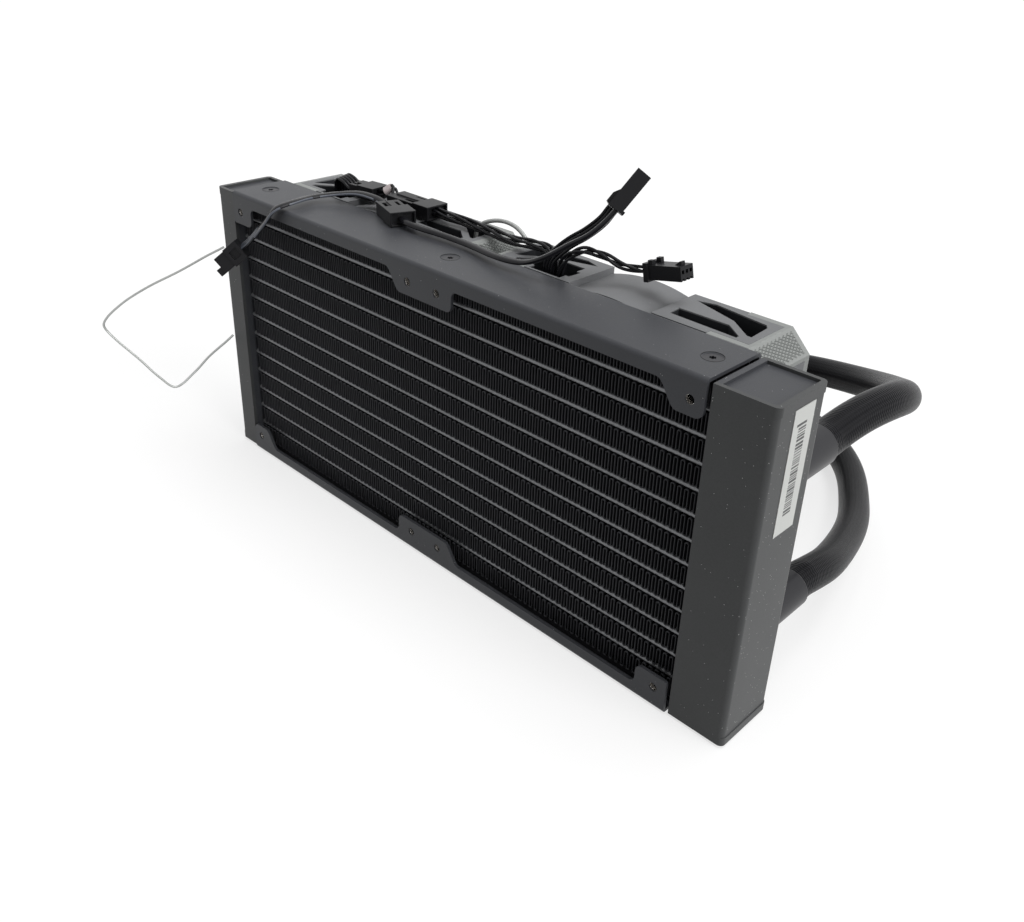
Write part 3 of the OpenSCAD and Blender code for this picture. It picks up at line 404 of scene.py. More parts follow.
def dust_group():
    """Small pale specks of dust that lie here and there."""
    tree, source, sink = new_group(
        "dust specks",
        [("Vector", "NodeSocketVector", (0, 0, 0)), ("Scale", "NodeSocketFloat", 900),
         ("Share", "NodeSocketFloat", 0.03), ("Size", "NodeSocketFloat", 0.2),
         ("Colour", "NodeSocketColor", (0.1, 0.1, 0.1, 1)), ("Dust", "NodeSocketColor", (0.5, 0.5, 0.5, 1))],
        [("Colour", "NodeSocketColor"), ("Mask", "NodeSocketFloat")],
    )
    cells = tree.nodes.new("ShaderNodeTexVoronoi")
    tree.links.new(source.outputs["Vector"], cells.inputs["Vector"])
    tree.links.new(source.outputs["Scale"], cells.inputs["Scale"])
    chance = tree.nodes.new("ShaderNodeSeparateColor")
    tree.links.new(cells.outputs["Color"], chance.inputs["Color"])
    picked = math_node(tree, "LESS_THAN", chance.outputs[0], source.outputs["Share"])
    near = math_node(tree, "LESS_THAN", cells.outputs["Distance"], source.outputs["Size"])
    mask = math_node(tree, "MULTIPLY", picked, near)
    colour = mix_colour(tree, mask, source.outputs["Colour"], source.outputs["Dust"])
    tree.links.new(colour, sink.inputs["Colour"])
    tree.links.new(mask, sink.inputs["Mask"])
    return tree


def braid_group():
    """Strands of a woven sleeve that cross over and under, from U around and V along it, with a Shade output that is
    painted shade, low in the grooves and high on the strands.
    """
    tree, source, sink = new_group(
        "braided strands",
        [("UV", "NodeSocketVector", (0, 0, 0)), ("Strands", "NodeSocketFloat", 24),
         ("Pitch", "NodeSocketFloat", 0.0012)],
        [("Height", "NodeSocketFloat"), ("Shade", "NodeSocketFloat")],
    )
    parts = tree.nodes.new("ShaderNodeSeparateXYZ")
    tree.links.new(source.outputs["UV"], parts.inputs[0])
    around = math_node(tree, "MULTIPLY", parts.outputs["X"], source.outputs["Strands"])
    along = math_node(tree, "DIVIDE", parts.outputs["Y"], source.outputs["Pitch"])
    slant = math_node(tree, "MULTIPLY", math_node(tree, "PINGPONG", around, 1.0), 0.45)
    rib = math_node(tree, "SINE", math_node(tree, "MULTIPLY", math_node(tree, "ADD", along, slant), math.pi))
    column = math_node(tree, "SINE", math_node(tree, "MULTIPLY", around, math.pi))
    rounded = math_node(tree, "ADD", math_node(tree, "MULTIPLY", math_node(tree, "ABSOLUTE", column), 0.4), 0.6)
    height = math_node(tree, "MULTIPLY", math_node(tree, "ABSOLUTE", rib), rounded)
    tree.links.new(height, sink.inputs["Height"])
    # Painted shade from the height: low in the grooves between strands, high on their crowns.
    tree.links.new(math_node(tree, "POWER", height, 0.8), sink.inputs["Shade"])
    return tree


GRAIN = grain_group()
DUST = dust_group()
BRAID = braid_group()


def use_group(tree, group, **values):
    """A group node in a material, with its numbers or links set by name."""
    node = tree.nodes.new("ShaderNodeGroup")
    node.node_tree = group
    for key, value in values.items():
        socket = node.inputs[key.replace("_", " ")]
        if isinstance(value, bpy.types.NodeSocket):
            tree.links.new(value, socket)
        else:
            socket.default_value = value
    return node


def finish_of(name, colour, rough, metal=0.0, scale=3000, cloud=60, vary=0.25, bump=0.02, depth=0.1 * MM,
              dust=0.0, dust_colour=(0.45, 0.45, 0.45, 1), coat=0.0, rough_vary=0.15, specular=0.5):
    """A material with fine grain, slow changes of shade and gloss, and dust."""
    material = bpy.data.materials.new(name)
    material.use_nodes = True
    tree = material.node_tree
    shader = tree.nodes["Principled BSDF"]
    shader.inputs["Metallic"].default_value = metal
    shader.inputs["Coat Weight"].default_value = coat
    shader.inputs["Coat Roughness"].default_value = 0.15
    shader.inputs["Specular IOR Level"].default_value = specular
    place_at = tree.nodes.new("ShaderNodeTexCoord").outputs["Object"]
    grain = use_group(tree, GRAIN, Vector=place_at, Scale=scale, Cloud_scale=cloud,
                      Colour=(*colour, 1), Variation=vary)
    out = grain.outputs["Colour"]
    if dust:
        specks = use_group(tree, DUST, Vector=place_at, Scale=1500, Share=dust, Size=0.17,
                           Colour=out, Dust=dust_colour)
        out = specks.outputs["Colour"]
    tree.links.new(out, shader.inputs["Base Color"])
    spread = math_node(tree, "MULTIPLY", math_node(tree, "SUBTRACT", grain.outputs["Cloud"], 0.5), rough_vary)
    tree.links.new(math_node(tree, "ADD", spread, rough, clamp=True), shader.inputs["Roughness"])
    if bump:
        node = tree.nodes.new("ShaderNodeBump")
        node.inputs["Strength"].default_value = bump
        node.inputs["Distance"].default_value = depth
        tree.links.new(grain.outputs["Height"], node.inputs["Height"])
        tree.links.new(node.outputs["Normal"], shader.inputs["Normal"])
    return material


def sleeve_finish(name, colour, strands, pitch):
    """A finely braided sleeve whose strands catch the light, with painted shade darkening its colour in the grooves
    between the strands and a painted highlight lightening it on their crowns.
    """
    material = bpy.data.materials.new(name)
    material.use_nodes = True
    tree = material.node_tree
    shader = tree.nodes["Principled BSDF"]
    shader.inputs["Roughness"].default_value = 0.3
    shader.inputs["Specular IOR Level"].default_value = 0.06
    uv = tree.nodes.new("ShaderNodeTexCoord").outputs["UV"]
    braid = use_group(tree, BRAID, UV=uv, Strands=strands, Pitch=pitch)
    # Painted shade and highlight: the base colour runs from a fifth of the colour in the grooves to 1.6 times it on
    # the strands.
    low = tuple(0.2 * c for c in colour) + (1,)
    high = tuple(1.6 * c for c in colour) + (1,)
    tree.links.new(mix_colour(tree, braid.outputs["Shade"], low, high), shader.inputs["Base Color"])
    node = tree.nodes.new("ShaderNodeBump")
    node.inputs["Strength"].default_value = 0.5
    node.inputs["Distance"].default_value = 0.2 * MM
    tree.links.new(braid.outputs["Height"], node.inputs["Height"])
    tree.links.new(node.outputs["Normal"], shader.inputs["Normal"])
    return material


# Materials

BLACK_COAT = finish_of("black powder coat", (0.047, 0.049, 0.055), 0.42, scale=2600, vary=0.35, bump=0.6,
                       depth=0.07 * MM, dust=0.02, specular=0.25)
TANK_PAINT = finish_of("black tank paint", (0.062, 0.064, 0.065), 0.42, scale=2200, vary=0.25, bump=0.25,
                       depth=0.05 * MM, dust=0.03, dust_colour=(0.6, 0.6, 0.6, 1), specular=0.2)
FAN_PLASTIC = finish_of("black fan plastic", (0.168, 0.171, 0.177), 0.5, scale=3500, vary=0.25, bump=0.15,
                        depth=0.04 * MM, dust=0.012, specular=0.2)
BLADE_PLASTIC = finish_of("black blade plastic", (0.035, 0.036, 0.04), 0.4, scale=3500, vary=0.2, bump=0.1,
                          depth=0.04 * MM, specular=0.3)
PAD_GREY = finish_of("grey pad rubber", (0.262, 0.272, 0.265), 0.5, scale=3000, vary=0.12, bump=0.15,
                     depth=0.04 * MM, specular=0.25)
GREY_JACKET = finish_of("grey wire jacket", (0.42, 0.43, 0.42), 0.4, scale=4000, vary=0.1, bump=0.05)
TUBE_GREY = finish_of("worn tube edges", (0.22, 0.225, 0.235), 0.38, metal=0.3, scale=1500, vary=0.6, bump=0.2)
STRIP_BLACK = finish_of("black strip paint", (0.02, 0.02, 0.022), 0.5, scale=2500, vary=0.4, bump=0.1, specular=0.2)
COLLAR_RUBBER = finish_of("smooth collar rubber", (0.03, 0.03, 0.033), 0.32, scale=2500, vary=0.2, bump=0.08,
                          specular=0.2)
SLEEVE = sleeve_finish("braided hose sleeve", (0.008, 0.008, 0.0095), 28, 0.95 * MM)
PLUG_PLASTIC = finish_of("black plug plastic", (0.012, 0.012, 0.0135), 0.32, scale=4000, vary=0.2, bump=0.1,
                         specular=0.14)
WIRE_BLACK = finish_of("black wire jacket", (0.008, 0.008, 0.01), 0.24, scale=4000, vary=0.2, bump=0.0,
                       specular=0.17)
RIBBON_EDGE = finish_of("pale ribbon edge", (0.075, 0.084, 0.104), 0.35, scale=3000, vary=0.25, bump=0.1)
BARE_WIRE = finish_of("dull bare wire", (0.42, 0.43, 0.42), 0.35, metal=0.6, scale=3000, vary=0.25, bump=0.1)
SCREW_BLACK = finish_of("blackened screws", (0.035, 0.035, 0.04), 0.36, metal=0.4, scale=3000, vary=0.3, bump=0.1,
                        specular=0.3)
THREAD_STEEL = finish_of("bright screw thread", (0.75, 0.72, 0.68), 0.2, metal=1.0, scale=2500, vary=0.3, bump=0.1)
LABEL_WHITE = finish_of("white label", (0.58, 0.59, 0.57), 0.45, scale=2000, vary=0.05, bump=0.03)
LABEL_INK = finish_of("label ink", (0.06, 0.062, 0.062), 0.5, scale=2000, vary=0.1, bump=0.0)
LOOP_BAND = finish_of("pale lead band", (0.5, 0.44, 0.44), 0.45, scale=3000, vary=0.15, bump=0.1)
STEEL = finish_of("turned steel", (0.5, 0.5, 0.52), 0.3, metal=1.0, scale=2000, vary=0.15, bump=0.05)
BRONZE = finish_of("bearing bronze", (0.5, 0.32, 0.14), 0.35, metal=1.0, scale=2000, vary=0.2, bump=0.05)
COPPER = finish_of("milled copper", (0.72, 0.36, 0.2), 0.28, metal=1.0, scale=1800, vary=0.15, bump=0.05)
BOARD = finish_of("green circuit board", (0.02, 0.12, 0.06), 0.4, scale=1500, vary=0.3, bump=0.05)
CERAMIC = finish_of("white ceramic", (0.8, 0.8, 0.78), 0.3, scale=1500, vary=0.05, bump=0.02)
PUMP_BLACK = finish_of("black pump plastic", (0.045, 0.045, 0.05), 0.4, scale=3200, vary=0.25, bump=0.12, specular=0.3)


def fin_finish_with_painted_edge_light():
    """Black fins whose front and back edges are painted a paler grey, a painted highlight for the light that their
    thin edges catch while the fins behind stay in shade.
    """
    material = finish_of("black fin paint", (0.01, 0.01, 0.012), 0.5, scale=2500, vary=0.4, bump=0.1, specular=0.15)
    tree = material.node_tree
    shader = tree.nodes["Principled BSDF"]
    painted = shader.inputs["Base Color"].links[0].from_socket
    low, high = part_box("core_fins")
    parts = tree.nodes.new("ShaderNodeSeparateXYZ")
    tree.links.new(tree.nodes.new("ShaderNodeTexCoord").outputs["Object"], parts.inputs[0])
    from_middle = math_node(tree, "SUBTRACT", parts.outputs["Y"], (low.y + high.y) / 2)
    reach = math_node(tree, "ABSOLUTE", from_middle)
    # Painted highlight: the outer half millimetre at the front and back of the fins is painted paler grey.
    edge = math_node(tree, "GREATER_THAN", reach, (high.y - low.y) / 2 - 0.5 * MM)
    tree.links.new(mix_colour(tree, edge, painted, (0.05, 0.051, 0.056, 1)), shader.inputs["Base Color"])
    return material


FIN_BLACK = fin_finish_with_painted_edge_light()


def paint_pocket_shade(material):
    """Paints the walls inside the corner pockets of the fans' frames blacker than their outside, as painted shade for
    the shadow that falls inside the pockets.
    """
    tree = material.node_tree
    shader = tree.nodes["Principled BSDF"]
    moulded = shader.inputs["Base Color"].links[0].from_socket
    parts = tree.nodes.new("ShaderNodeSeparateXYZ")
    tree.links.new(tree.nodes.new("ShaderNodeTexCoord").outputs["Object"], parts.inputs[0])
    aside = math_node(tree, "ABSOLUTE", math_node(tree, "SUBTRACT", math_node(tree, "ABSOLUTE", parts.outputs["X"]), FAN_X))
    above = math_node(tree, "ABSOLUTE", math_node(tree, "SUBTRACT", parts.outputs["Z"], MID_Z))
    behind = math_node(tree, "ABSOLUTE", math_node(tree, "SUBTRACT", parts.outputs["Y"], FAN_Y + FAN_DEPTH / 2))
    inside = math_node(tree, "LESS_THAN", math_node(tree, "MAXIMUM", aside, above), FAN_HALF - 0.5 * MM)
    corner = math_node(tree, "GREATER_THAN", math_node(tree, "MINIMUM", aside, above), 17.5 * MM)
    between = math_node(tree, "LESS_THAN", behind, FAN_DEPTH / 2 - 1.2 * MM)
    # Painted shade: the pocket walls get a near-black colour in place of their shadow.
    pocket_shade_mask = math_node(tree, "MULTIPLY", math_node(tree, "MULTIPLY", inside, corner), between)
    tree.links.new(mix_colour(tree, pocket_shade_mask, moulded, (0.022, 0.023, 0.026, 1)), shader.inputs["Base Color"])


paint_pocket_shade(FAN_PLASTIC)


# Camera, lights and floor

SKY_LIGHT = 0.3
FLOOR_SHADE = 0.35


def make_camera():
    data = bpy.data.cameras.new("camera")
    data.sensor_width = CAMERA_SENSOR
    data.lens = CAMERA_LENS
    data.shift_x, data.shift_y = CAMERA_SHIFT
    data.clip_start = 0.01
    camera = bpy.data.objects.new("camera", data)
    camera.location = CAMERA_PLACE
    camera.rotation_euler = Euler([math.radians(a) for a in CAMERA_TURN])
    scene.collection.objects.link(camera)
    scene.camera = camera


def soft_sun(name, direction, spread, power):
    """A lamp far away, towards the direction, as broad as a soft box."""
    data = bpy.data.lights.new(name, "SUN")
    data.angle = math.radians(spread)
    data.energy = power
    lamp = bpy.data.objects.new(name, data)
    lamp.location = Vector(direction).normalized()
    lamp.rotation_euler = (-Vector(direction)).to_track_quat("-Z", "Y").to_euler()
    scene.collection.objects.link(lamp)


def background_share(tree):
    """1 for rays that look straight or by a mirror at the background, and 0 for the rest."""
    rays = tree.nodes.new("ShaderNodeLightPath")
    seen = math_node(tree, "MAXIMUM", rays.outputs["Is Camera Ray"], rays.outputs["Is Glossy Ray"])
    return math_node(tree, "MAXIMUM", seen, rays.outputs["Is Transmission Ray"])


def make_world():
    world = bpy.data.worlds.new("studio")
    world.use_nodes = True
    tree = world.node_tree
    share = background_share(tree)
    strength = math_node(tree, "ADD", math_node(tree, "MULTIPLY", share, 1 - SKY_LIGHT), SKY_LIGHT)
    background = tree.nodes["Background"]
    background.inputs["Color"].default_value = (1, 1, 1, 1)
    tree.links.new(strength, background.inputs["Strength"])
    scene.world = world


def make_floor():
    bpy.ops.mesh.primitive_plane_add(size=8, location=(0, 0, -0.0003))
    floor = bpy.context.active_object
    floor.name = "floor"
    settle(floor)
    material = bpy.data.materials.new("white floor")
    material.use_nodes = True
    tree = material.node_tree
    shader = tree.nodes["Principled BSDF"]
    shader.inputs["Base Color"].default_value = (FLOOR_SHADE, FLOOR_SHADE, FLOOR_SHADE, 1)
    shader.inputs["Roughness"].default_value = 1
    shader.inputs["Specular IOR Level"].default_value = 0
    shader.inputs["Emission Color"].default_value = (1, 1, 1, 1)
    glow = math_node(tree, "MULTIPLY", background_share(tree), 1 - 0.95 * FLOOR_SHADE)
    tree.links.new(glow, shader.inputs["Emission Strength"])
    paint(floor, material)


make_camera()
make_world()
make_floor()
soft_sun("overhead", (0.15, 0.1, 1), 45, 1.8)
soft_sun("side", (1, 0.05, 0.45), 40, 1.8)
scene.view_settings.view_transform = "Standard"


# Plugs and couplers

PLUG_FOUR_AIM = (4, 7.5, 10.2)
PLUG_FOUR_PLACE = metres([(50.5, 39, 145)])[0]
PLUG_FOUR_ROLL = -12
PLUG_THREE_AIM = (0.97, -0.02, 0.22)
HANGING_AIM = (-7.5, -8, -9.5)


def make_plug(node):
    """A moulded plug or coupler with slightly rounded edges."""
    return dressed(node, node + "_moulded", PLUG_PLASTIC, "black_plastic", width=0.18 * MM)


plugs = {node: make_plug(node) for node in ("plug_four_pin", "plug_three_pin", "coupler_front", "coupler_back",
                                            "coupler_left", "hanging_connector")}
turn = Matrix.Rotation(math.radians(PLUG_FOUR_ROLL), 4, Vector(PLUG_FOUR_AIM))
shift = Matrix.Translation(PLUG_FOUR_PLACE)
plugs["plug_four_pin"].data.transform(shift @ turn @ shift.inverted())


# Hoses and leads

HOSE_ROUNDS = 60
COLLAR_CUT = 4 * MM


def make_hose(name, route, start, end):
    path = smooth_path(route, start, end, 1.5 * MM, HOSE_ROUNDS)
    frames = path_frames(path, start, end, (0, 0, 1))
    hose = sweep(name + "_sleeve", path, frames, HOSE_D, HOSE_D, 48)
    paint(hose, SLEEVE)
    place(hose, "root", "braided_sleeve", name)
    return hose


def make_hose_root(name, route):
    """The first bit of a hose's sleeve, which shows where its collar ends short of the cord's start."""
    steps = 5
    path = [route[0] + Vector((0, (i - steps) * MM, 0)) for i in range(steps + 1)]
    frames = path_frames(path, (0, 1, 0), (0, 1, 0), (0, 0, 1))
    root = sweep(name, path, frames, HOSE_D, HOSE_D, 48)
    paint(root, SLEEVE)
    place(root, "root", "braided_sleeve")


make_hose("hose_upper", ROUTE_HOSE_UPPER, (0, 1, 0), (-1, 0, 0))
make_hose("hose_lower", ROUTE_HOSE_LOWER, (0, 1, 0), (-1, 0, 0))
make_hose_root("hose_upper_root", ROUTE_HOSE_UPPER)
make_hose_root("hose_lower_root", ROUTE_HOSE_LOWER)


def make_lead(name, node, route, start, end, size, wires, wire, up, slot, material,
              turns=0.0):
    """A lead of thin wires that lie side by side, or are twisted about its route where turns are given."""
    path = smooth_path(route, start, end, 1 * MM)
    frames = path_frames(path, start, end, up)
    length = path_length(path)
    width, height = wire
    reach = (size - max(wire)) / 2
    tubes = []
    for i in range(wires):
        if turns:
            def offset(run, first=2 * math.pi * i / wires):
                a = first + 2 * math.pi * turns * run / length
                return reach * math.cos(a), reach * math.sin(a)
        else:
            def offset(run, shift=(i - (wires - 1) / 2) * width * 1.02):
                return 0.0, shift
        tubes.append(sweep(f"{name}_{i}", path, frames, width, height, 12, offset))
    lead = join(tubes, name)
    paint(lead, material)
    place(lead, "root", slot, node)
    return lead


UP_Y = (0, 1, 0)
UP_Z = (0, 0, 1)
RIBBON_AIM = (-0.95, 0.31, 0)
RIBBON_WIDTH = 4.2 * MM
RIBBON_HEIGHT = 1.5 * MM
EDGE_STRIPS = ((0.0, 0.07), (0.1, 0.42), (0.46, 0.6), (0.64, 0.86))
BARE_FROM = 0.84


def make_ribbon_edge():
    """The pale strips along the ribbon's front edge, and its wires where they part at the connector."""
    path = smooth_path(ROUTE_RIBBON, RIBBON_AIM, HANGING_AIM, 1 * MM)
    frames = path_frames(path, RIBBON_AIM, HANGING_AIM, UP_Z)
    strips = []

    def add_strip(first, last, up, across, size):
        a, b = round(first * (len(path) - 1)), round(last * (len(path) - 1)) + 1
        strips.append(sweep(f"ribbon_strip_{len(strips)}", path[a:b], frames[a:b], size, size, 10,
                            lambda run: (up, across)))

    for first, last in EDGE_STRIPS:
        add_strip(first, last, 0.2 * MM, -RIBBON_WIDTH / 2, 0.9 * MM)
    for k in (-1, 0, 1):
        add_strip(BARE_FROM, 1, RIBBON_HEIGHT / 2 - 0.2 * MM, 1.4 * MM * k, 0.8 * MM)
    edge = join(strips, "ribbon_edge")
    paint(edge, RIBBON_EDGE)
    place(edge, "root", "bare_wire")
    return edge


make_lead("fan_lead_wires", "lead_four_wire", ROUTE_LEAD_FOUR, UP_Z, PLUG_FOUR_AIM, 4 * MM, 4,
          (1.1 * MM, 1.1 * MM), UP_Y, "cable_jacket", WIRE_BLACK)
make_lead("light_lead_wires", "lead_three_wire", ROUTE_LEAD_THREE, UP_Z, PLUG_THREE_AIM, 3 * MM, 3,
          (1.15 * MM, 1.15 * MM), UP_Y, "cable_jacket", WIRE_BLACK, turns=1.3)
make_lead("link_cable_jacket", "link_cable", ROUTE_LINK, (0.94, -0.34, 0), PLUG_FOUR_AIM, 3.5 * MM, 1,
          (3.5 * MM, 1.9 * MM), UP_Z, "black_rubber", WIRE_BLACK)
make_lead("back_lead_wires", "back_lead", ROUTE_BACK, (1, 0.1, 0), (0, 0, -1), 4 * MM, 5,
          (1.1 * MM, 1.1 * MM), UP_Y, "cable_jacket", WIRE_BLACK, turns=0.9)
ribbon_edge = make_ribbon_edge()
make_lead("ribbon_wires", "ribbon_lead", ROUTE_RIBBON, RIBBON_AIM, HANGING_AIM, 5 * MM, 1,
          (RIBBON_WIDTH, RIBBON_HEIGHT), UP_Z, "black_rubber", WIRE_BLACK)
make_lead("left_fan_wires", "left_fan_leads", ROUTE_LEFT_LEADS, UP_Z, (1, 0.1, 0), 7 * MM, 5,
          (1.3 * MM, 1.3 * MM), (-1, 0, 0), "cable_jacket", WIRE_BLACK)
make_lead("loop_wires", "loop_lead", ROUTE_LOOP, (1, 0.1, 0), (1, -0.2, 0), 3 * MM, 3,
          (1.2 * MM, 1.2 * MM), UP_Z, "cable_jacket", WIRE_BLACK, turns=0.6)
loop_path = smooth_path(ROUTE_LOOP, (1, 0.1, 0), (1, -0.2, 0), 0.5 * MM)
band_path = loop_path[len(loop_path) // 4:len(loop_path) // 2]
band_ends = (band_path[1] - band_path[0], band_path[-1] - band_path[-2])
band = sweep("loop_band", band_path, path_frames(band_path, *band_ends, UP_Z), 3.5 * MM, 3.5 * MM, 20)
paint(band, LOOP_BAND)
place(band, "root", "grey_pad")
make_lead("grey_wire_jacket", "grey_wire", ROUTE_GREY_WIRE, UP_Z, (0, 0, -1), 1.6 * MM, 1,
          (1.6 * MM, 1.6 * MM), UP_Y, "grey_pad", GREY_JACKET)
make_lead("wire_tie", "stiff_wire", ROUTE_STIFF_WIRE, (-1, -1.6, -1), (0.2, 1, 0.8), 1 * MM, 1,
          (1 * MM, 1 * MM), UP_Z, "bare_wire", BARE_WIRE)


# Radiator core

def fold_outline(length, height, pitch, gauge):
    """One side of a ribbon of round folds, as points in X and Z."""
    points = []
    folds = int(length / pitch)
    step = length / folds
    arc_r = step / 4
    rise = 0.45 * arc_r
    for i in range(folds):
        x = -length / 2 + i * step
        for k in range(7):
            a = math.pi * (1 - k / 6)
            points.append((x + arc_r + arc_r * math.cos(a), height - rise + rise * math.sin(a)))
        for k in range(7):
            a = math.pi * (1 + k / 6)
            points.append((x + 3 * arc_r + arc_r * math.cos(a), rise + rise * math.sin(a)))
    return points


def make_fins():
    """Thirteen strips of thin folds between the tubes."""
    tubes = 12
    low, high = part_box("core_fins")
    pitch_z = 8.9 * MM
    fin_h = 7.06 * MM
    gauge = 0.22 * MM
    outline = fold_outline(high.x - low.x, fin_h - gauge, 2.5 * MM, gauge)
    points = []
    faces = []
    for row in range(tubes + 1):
        z = low.z + gauge / 2 + row * pitch_z
        first = len(points)
        for x, dz in outline:
            points.append((x, low.y, z + dz))
            points.append((x, high.y, z + dz))
        for i in range(len(outline) - 1):
            a = first + 2 * i
            faces.append((a, a + 1, a + 3, a + 2))
    fins = mesh_piece("folded_fins", points, faces)
    wall = fins.modifiers.new("sheet", "SOLIDIFY")
    wall.thickness = gauge
    wall.offset = 0
    apply_all(fins)
    smooth(fins, 40)
    paint(fins, FIN_BLACK)
    place(fins, "root", "core_metal", "core_fins")


make_fins()
paint_node("core_tubes", TUBE_GREY)
paint_node("core_strips", STRIP_BLACK)
paint_node("header_plates", BLACK_COAT)

# Radiator case
for node in ("side_plate_top", "side_plate_bottom"):
    dressed(node, node + "_coated", BLACK_COAT, "black_coat", width=0.2 * MM)
for node in ("tank_left", "tank_right"):
    dressed(node, node + "_painted", TANK_PAINT, "black_coat", width=0.35 * MM, segments=3)
for node in ("tank_caps", "tank_divider"):
    paint_node(node, BLACK_COAT)
paint_node("hose_nipples", STEEL)
paint_node("side_plate_screws", SCREW_BLACK)
paint_node("tank_label", LABEL_WHITE)
collars = dressed("tank_collars", "hose_collars_at_tank", COLLAR_RUBBER, "black_rubber", width=0.5 * MM, segments=3)
collar_end = max(v.co.y for v in collars.data.vertices)
for v in collars.data.vertices:
    if v.co.y > collar_end - 2 * MM:
        v.co.y -= COLLAR_CUT


def box_piece(name, low, high):
    """A block between two corners, made as a cube of its own."""
    middle = (Vector(low) + Vector(high)) / 2
    bpy.ops.mesh.primitive_cube_add(size=1, location=middle)
    block = bpy.context.active_object
    block.name = name
    block.scale = Vector(high) - Vector(low)
    settle(block)
    return block


def copied(piece, name, matrix):
    """A copy of a piece with its own mesh, turned and moved by the matrix."""
    mesh = piece.data.copy()
    mesh.transform(matrix)
    copy = bpy.data.objects.new(name, mesh)
    scene.collection.objects.link(copy)
    return copy


def make_label_bars():
    """Plain bars of uneven width across the label, which spell nothing."""
    low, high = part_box("tank_label")
    wide = high.y - low.y
    tall = high.z - low.z
    bars = []
    z = low.z + 0.15 * tall
    while z < low.z + 0.86 * tall:
        bar = random.choice((0.35, 0.35, 0.6, 0.8)) * MM
        start = low.y + 0.3 * wide
        if z > low.z + 0.84 * tall:
            start = low.y + 0.2 * wide
        bars.append(box_piece("bar", (high.x - 0.01 * MM, start, z), (high.x + 0.02 * MM, low.y + 0.68 * wide, z + bar)))
        z += bar + random.choice((0.35, 0.35, 0.6)) * MM
    marks = join(bars, "label_bars")
    paint(marks, LABEL_INK)
    place(marks, "root", "white_label")


make_label_bars()


# Bright threads inside the drawn screw holes

HOLE_EDGE = 7.5 * MM
HOLE_X = [side * FAN_X + half * (FAN_HALF - HOLE_EDGE) for side in (-1, 1) for half in (-1, 1)]
HOLE_Z = [MID_Z - FAN_HALF + HOLE_EDGE, MID_Z + FAN_HALF - HOLE_EDGE]


def make_threads():
    """Four turns of a thread in each hole of the front flanges."""
    bpy.ops.mesh.primitive_torus_add(major_radius=1.52 * MM, minor_radius=0.17 * MM, major_segments=24,
                                     minor_segments=6, rotation=(math.radians(90), 0, 0))
    turn = bpy.context.active_object
    settle(turn)
    rings = []
    for x in HOLE_X:
        for z in HOLE_Z:
            for i in range(4):
                y = (0.75 + 0.42 * i) * MM
                rings.append(copied(turn, "thread", Matrix.Translation((x, y, z))))
    bpy.data.objects.remove(turn)
    threads = join(rings, "drawn_hole_threads")
    smooth(threads, 60)
    paint(threads, THREAD_STEEL)
    place(threads, "root", "turned_steel")


make_threads()


def make_painted_screw_gap_shade():
    """The dark line around each countersunk head in the side plates: a thin black ring of painted shade for the shadow
    in the gap between head and plate.
    """
    bpy.ops.mesh.primitive_torus_add(major_radius=3.45 * MM, minor_radius=0.13 * MM, major_segments=48,
                                     minor_segments=6)
    rim = bpy.context.active_object
    rims = []
    plate_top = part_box("side_plate_top")[1].z
    for x in (-PLATE_SCREW_X, 0, PLATE_SCREW_X):
        for z in (0.13 * MM, plate_top - 0.05 * MM):
            rims.append(copied(rim, "rim", Matrix.Translation((x, RADIATOR_DEPTH / 2, z))))
    bpy.data.objects.remove(rim)
    circles = join(rims, "countersink_gap_shade")
    smooth(circles, 60)
    # Painted shade: the black ring stands in for the shadow in each countersink's gap.
    paint(circles, STRIP_BLACK)
    place(circles, "root", "dark_screws")


make_painted_screw_gap_shade()


# Fans

CHAMFER = 7 * MM
LOZENGE = (2.15 * MM, 1.32 * MM, 0.45 * MM)
LOZENGE_STEP = (2.2 * MM, 0.68 * MM)


def make_lozenge():
    """One raised lozenge of the pads' grip, with its top at +Z."""
    bpy.ops.mesh.primitive_cylinder_add(vertices=4, radius=0.5, depth=1, location=(0, 0, LOZENGE[2] / 2))
    lozenge = bpy.context.active_object
    lozenge.scale = (LOZENGE[0], LOZENGE[1], LOZENGE[2])
    settle(lozenge)
    bpy.ops.object.mode_set(mode="EDIT")
    bpy.ops.mesh.select_all(action="DESELECT")
    bpy.ops.object.mode_set(mode="OBJECT")
    for face in lozenge.data.polygons:
        face.select = face.normal.z > 0.9
    bpy.ops.object.mode_set(mode="EDIT")
    bpy.ops.mesh.select_mode(type="FACE")
    bpy.ops.transform.resize(value=(0.55, 0.55, 1))
    bpy.ops.object.mode_set(mode="OBJECT")
    return lozenge


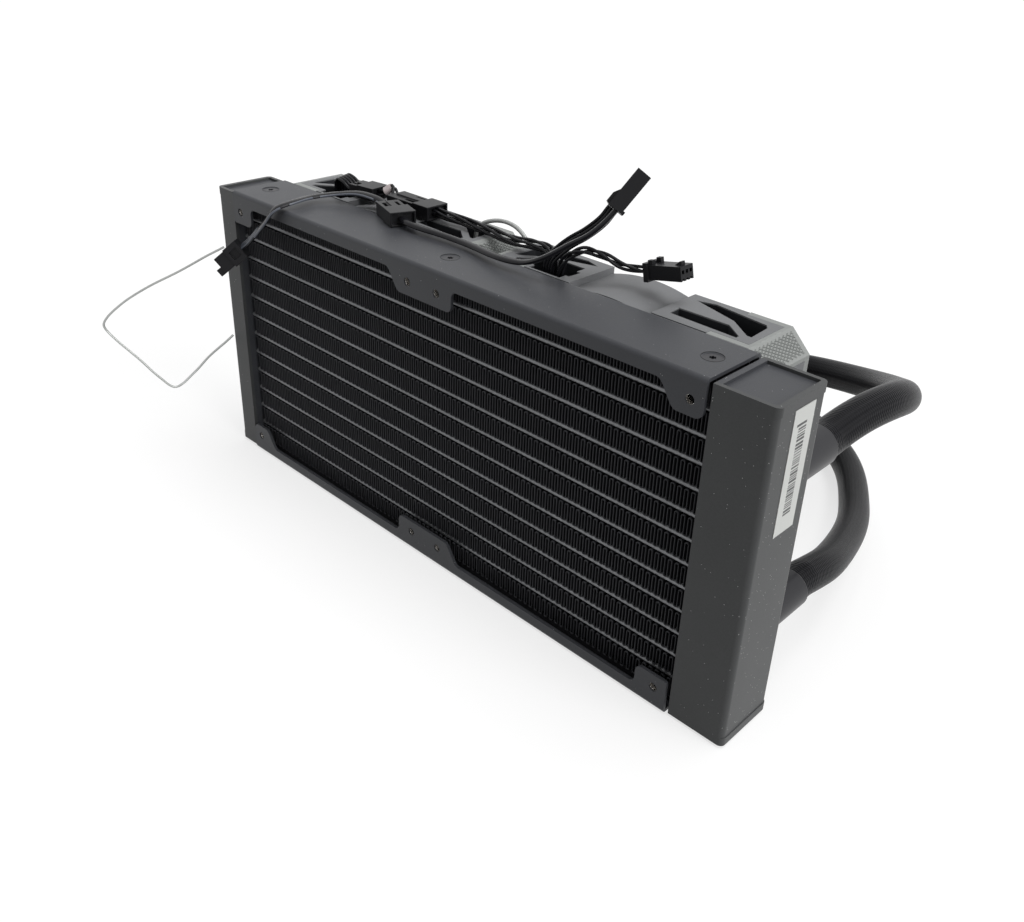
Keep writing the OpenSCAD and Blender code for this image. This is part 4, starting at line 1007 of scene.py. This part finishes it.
def make_grips(side, lozenge):
    """Rows of lozenges on the four chamfers of a fan."""
    centre = Vector((side * FAN_X, FAN_Y + FAN_DEPTH / 2, MID_Z))
    copies = []
    for corner in range(4):
        turn = math.radians(45 + 90 * corner)
        outward = Vector((math.cos(turn), 0, math.sin(turn)))
        across = Vector((-math.sin(turn), 0, math.cos(turn)))
        middle = centre + outward * (FAN_HALF - CHAMFER / 2) * math.sqrt(2)
        basis = Matrix((Vector((0, 1, 0)), across, outward)).transposed().to_4x4()
        if basis.determinant() < 0:
            basis = Matrix((Vector((0, -1, 0)), across, outward)).transposed().to_4x4()
        for row in range(-5, 6):
            shift = 0.5 * (row % 2)
            for i in range(-5, 6):
                along = (i + shift) * LOZENGE_STEP[0]
                if abs(along) > 10.6 * MM:
                    continue
                place_at = middle + across * row * LOZENGE_STEP[1] + Vector((0, 1, 0)) * along
                copies.append(copied(lozenge, "lozenge", Matrix.Translation(place_at - outward * 0.02 * MM) @ basis))
    grips = join(copies, "fan_left_grips" if side < 0 else "fan_right_grips")
    paint(grips, PAD_GREY)
    place(grips, "root", "grey_pad")


def dress_fan(side):
    frame_node = f"fan_{side}_frame"
    dressed(frame_node, frame_node + "_moulded", FAN_PLASTIC, "black_plastic", width=0.2 * MM)
    pads = f"fan_{side}_pads"
    dressed(pads, pads + "_moulded", PAD_GREY, "grey_pad", width=0.25 * MM, segments=2)
    for node in (f"fan_{side}_hub", f"fan_{side}_blades"):
        dressed(node, node + "_moulded", BLADE_PLASTIC, "black_plastic", body=f"rotor_{side}", width=0.15 * MM)
    paint_node(f"fan_{side}_rotor_ring", STEEL)
    paint_node(f"fan_{side}_shaft", STEEL)


dress_fan("left")
dress_fan("right")
paint_node("fan_bearings", BRONZE)
paint_node("fan_stators", COPPER)
paint_node("fan_circuit_boards", BOARD)
dressed("fan_screws", "fan_screws_black", SCREW_BLACK, "dark_screws", width=0.15 * MM)
one_lozenge = make_lozenge()
make_grips(-1, one_lozenge)
make_grips(1, one_lozenge)
bpy.data.objects.remove(one_lozenge)

# Pump head
dressed("cold_plate", "cold_plate_milled", COPPER, "copper", width=0.2 * MM)
dressed("pump_housing", "pump_housing_moulded", PUMP_BLACK, "black_plastic", width=0.4 * MM)
dressed("pump_cover", "pump_cover_moulded", PUMP_BLACK, "black_plastic", width=0.6 * MM, segments=3)
dressed("pump_elbows", "pump_elbows_moulded", PUMP_BLACK, "black_plastic", width=0.3 * MM)
dressed("pump_bracket", "pump_bracket_plated", STEEL, "turned_steel", width=0.25 * MM)
dressed("pump_trim_ring", "pump_trim_ring_turned", STEEL, "turned_steel", width=0.3 * MM)
dressed("pump_collars", "hose_collars_at_pump", COLLAR_RUBBER, "black_rubber", width=0.4 * MM)
paint_node("plate_seal", COLLAR_RUBBER)
paint_node("pump_can", STEEL)
paint_node("impeller", PUMP_BLACK)
paint_node("impeller_shaft", CERAMIC)
paint_node("pump_stator", COPPER)
paint_node("pump_circuit_board", BOARD)
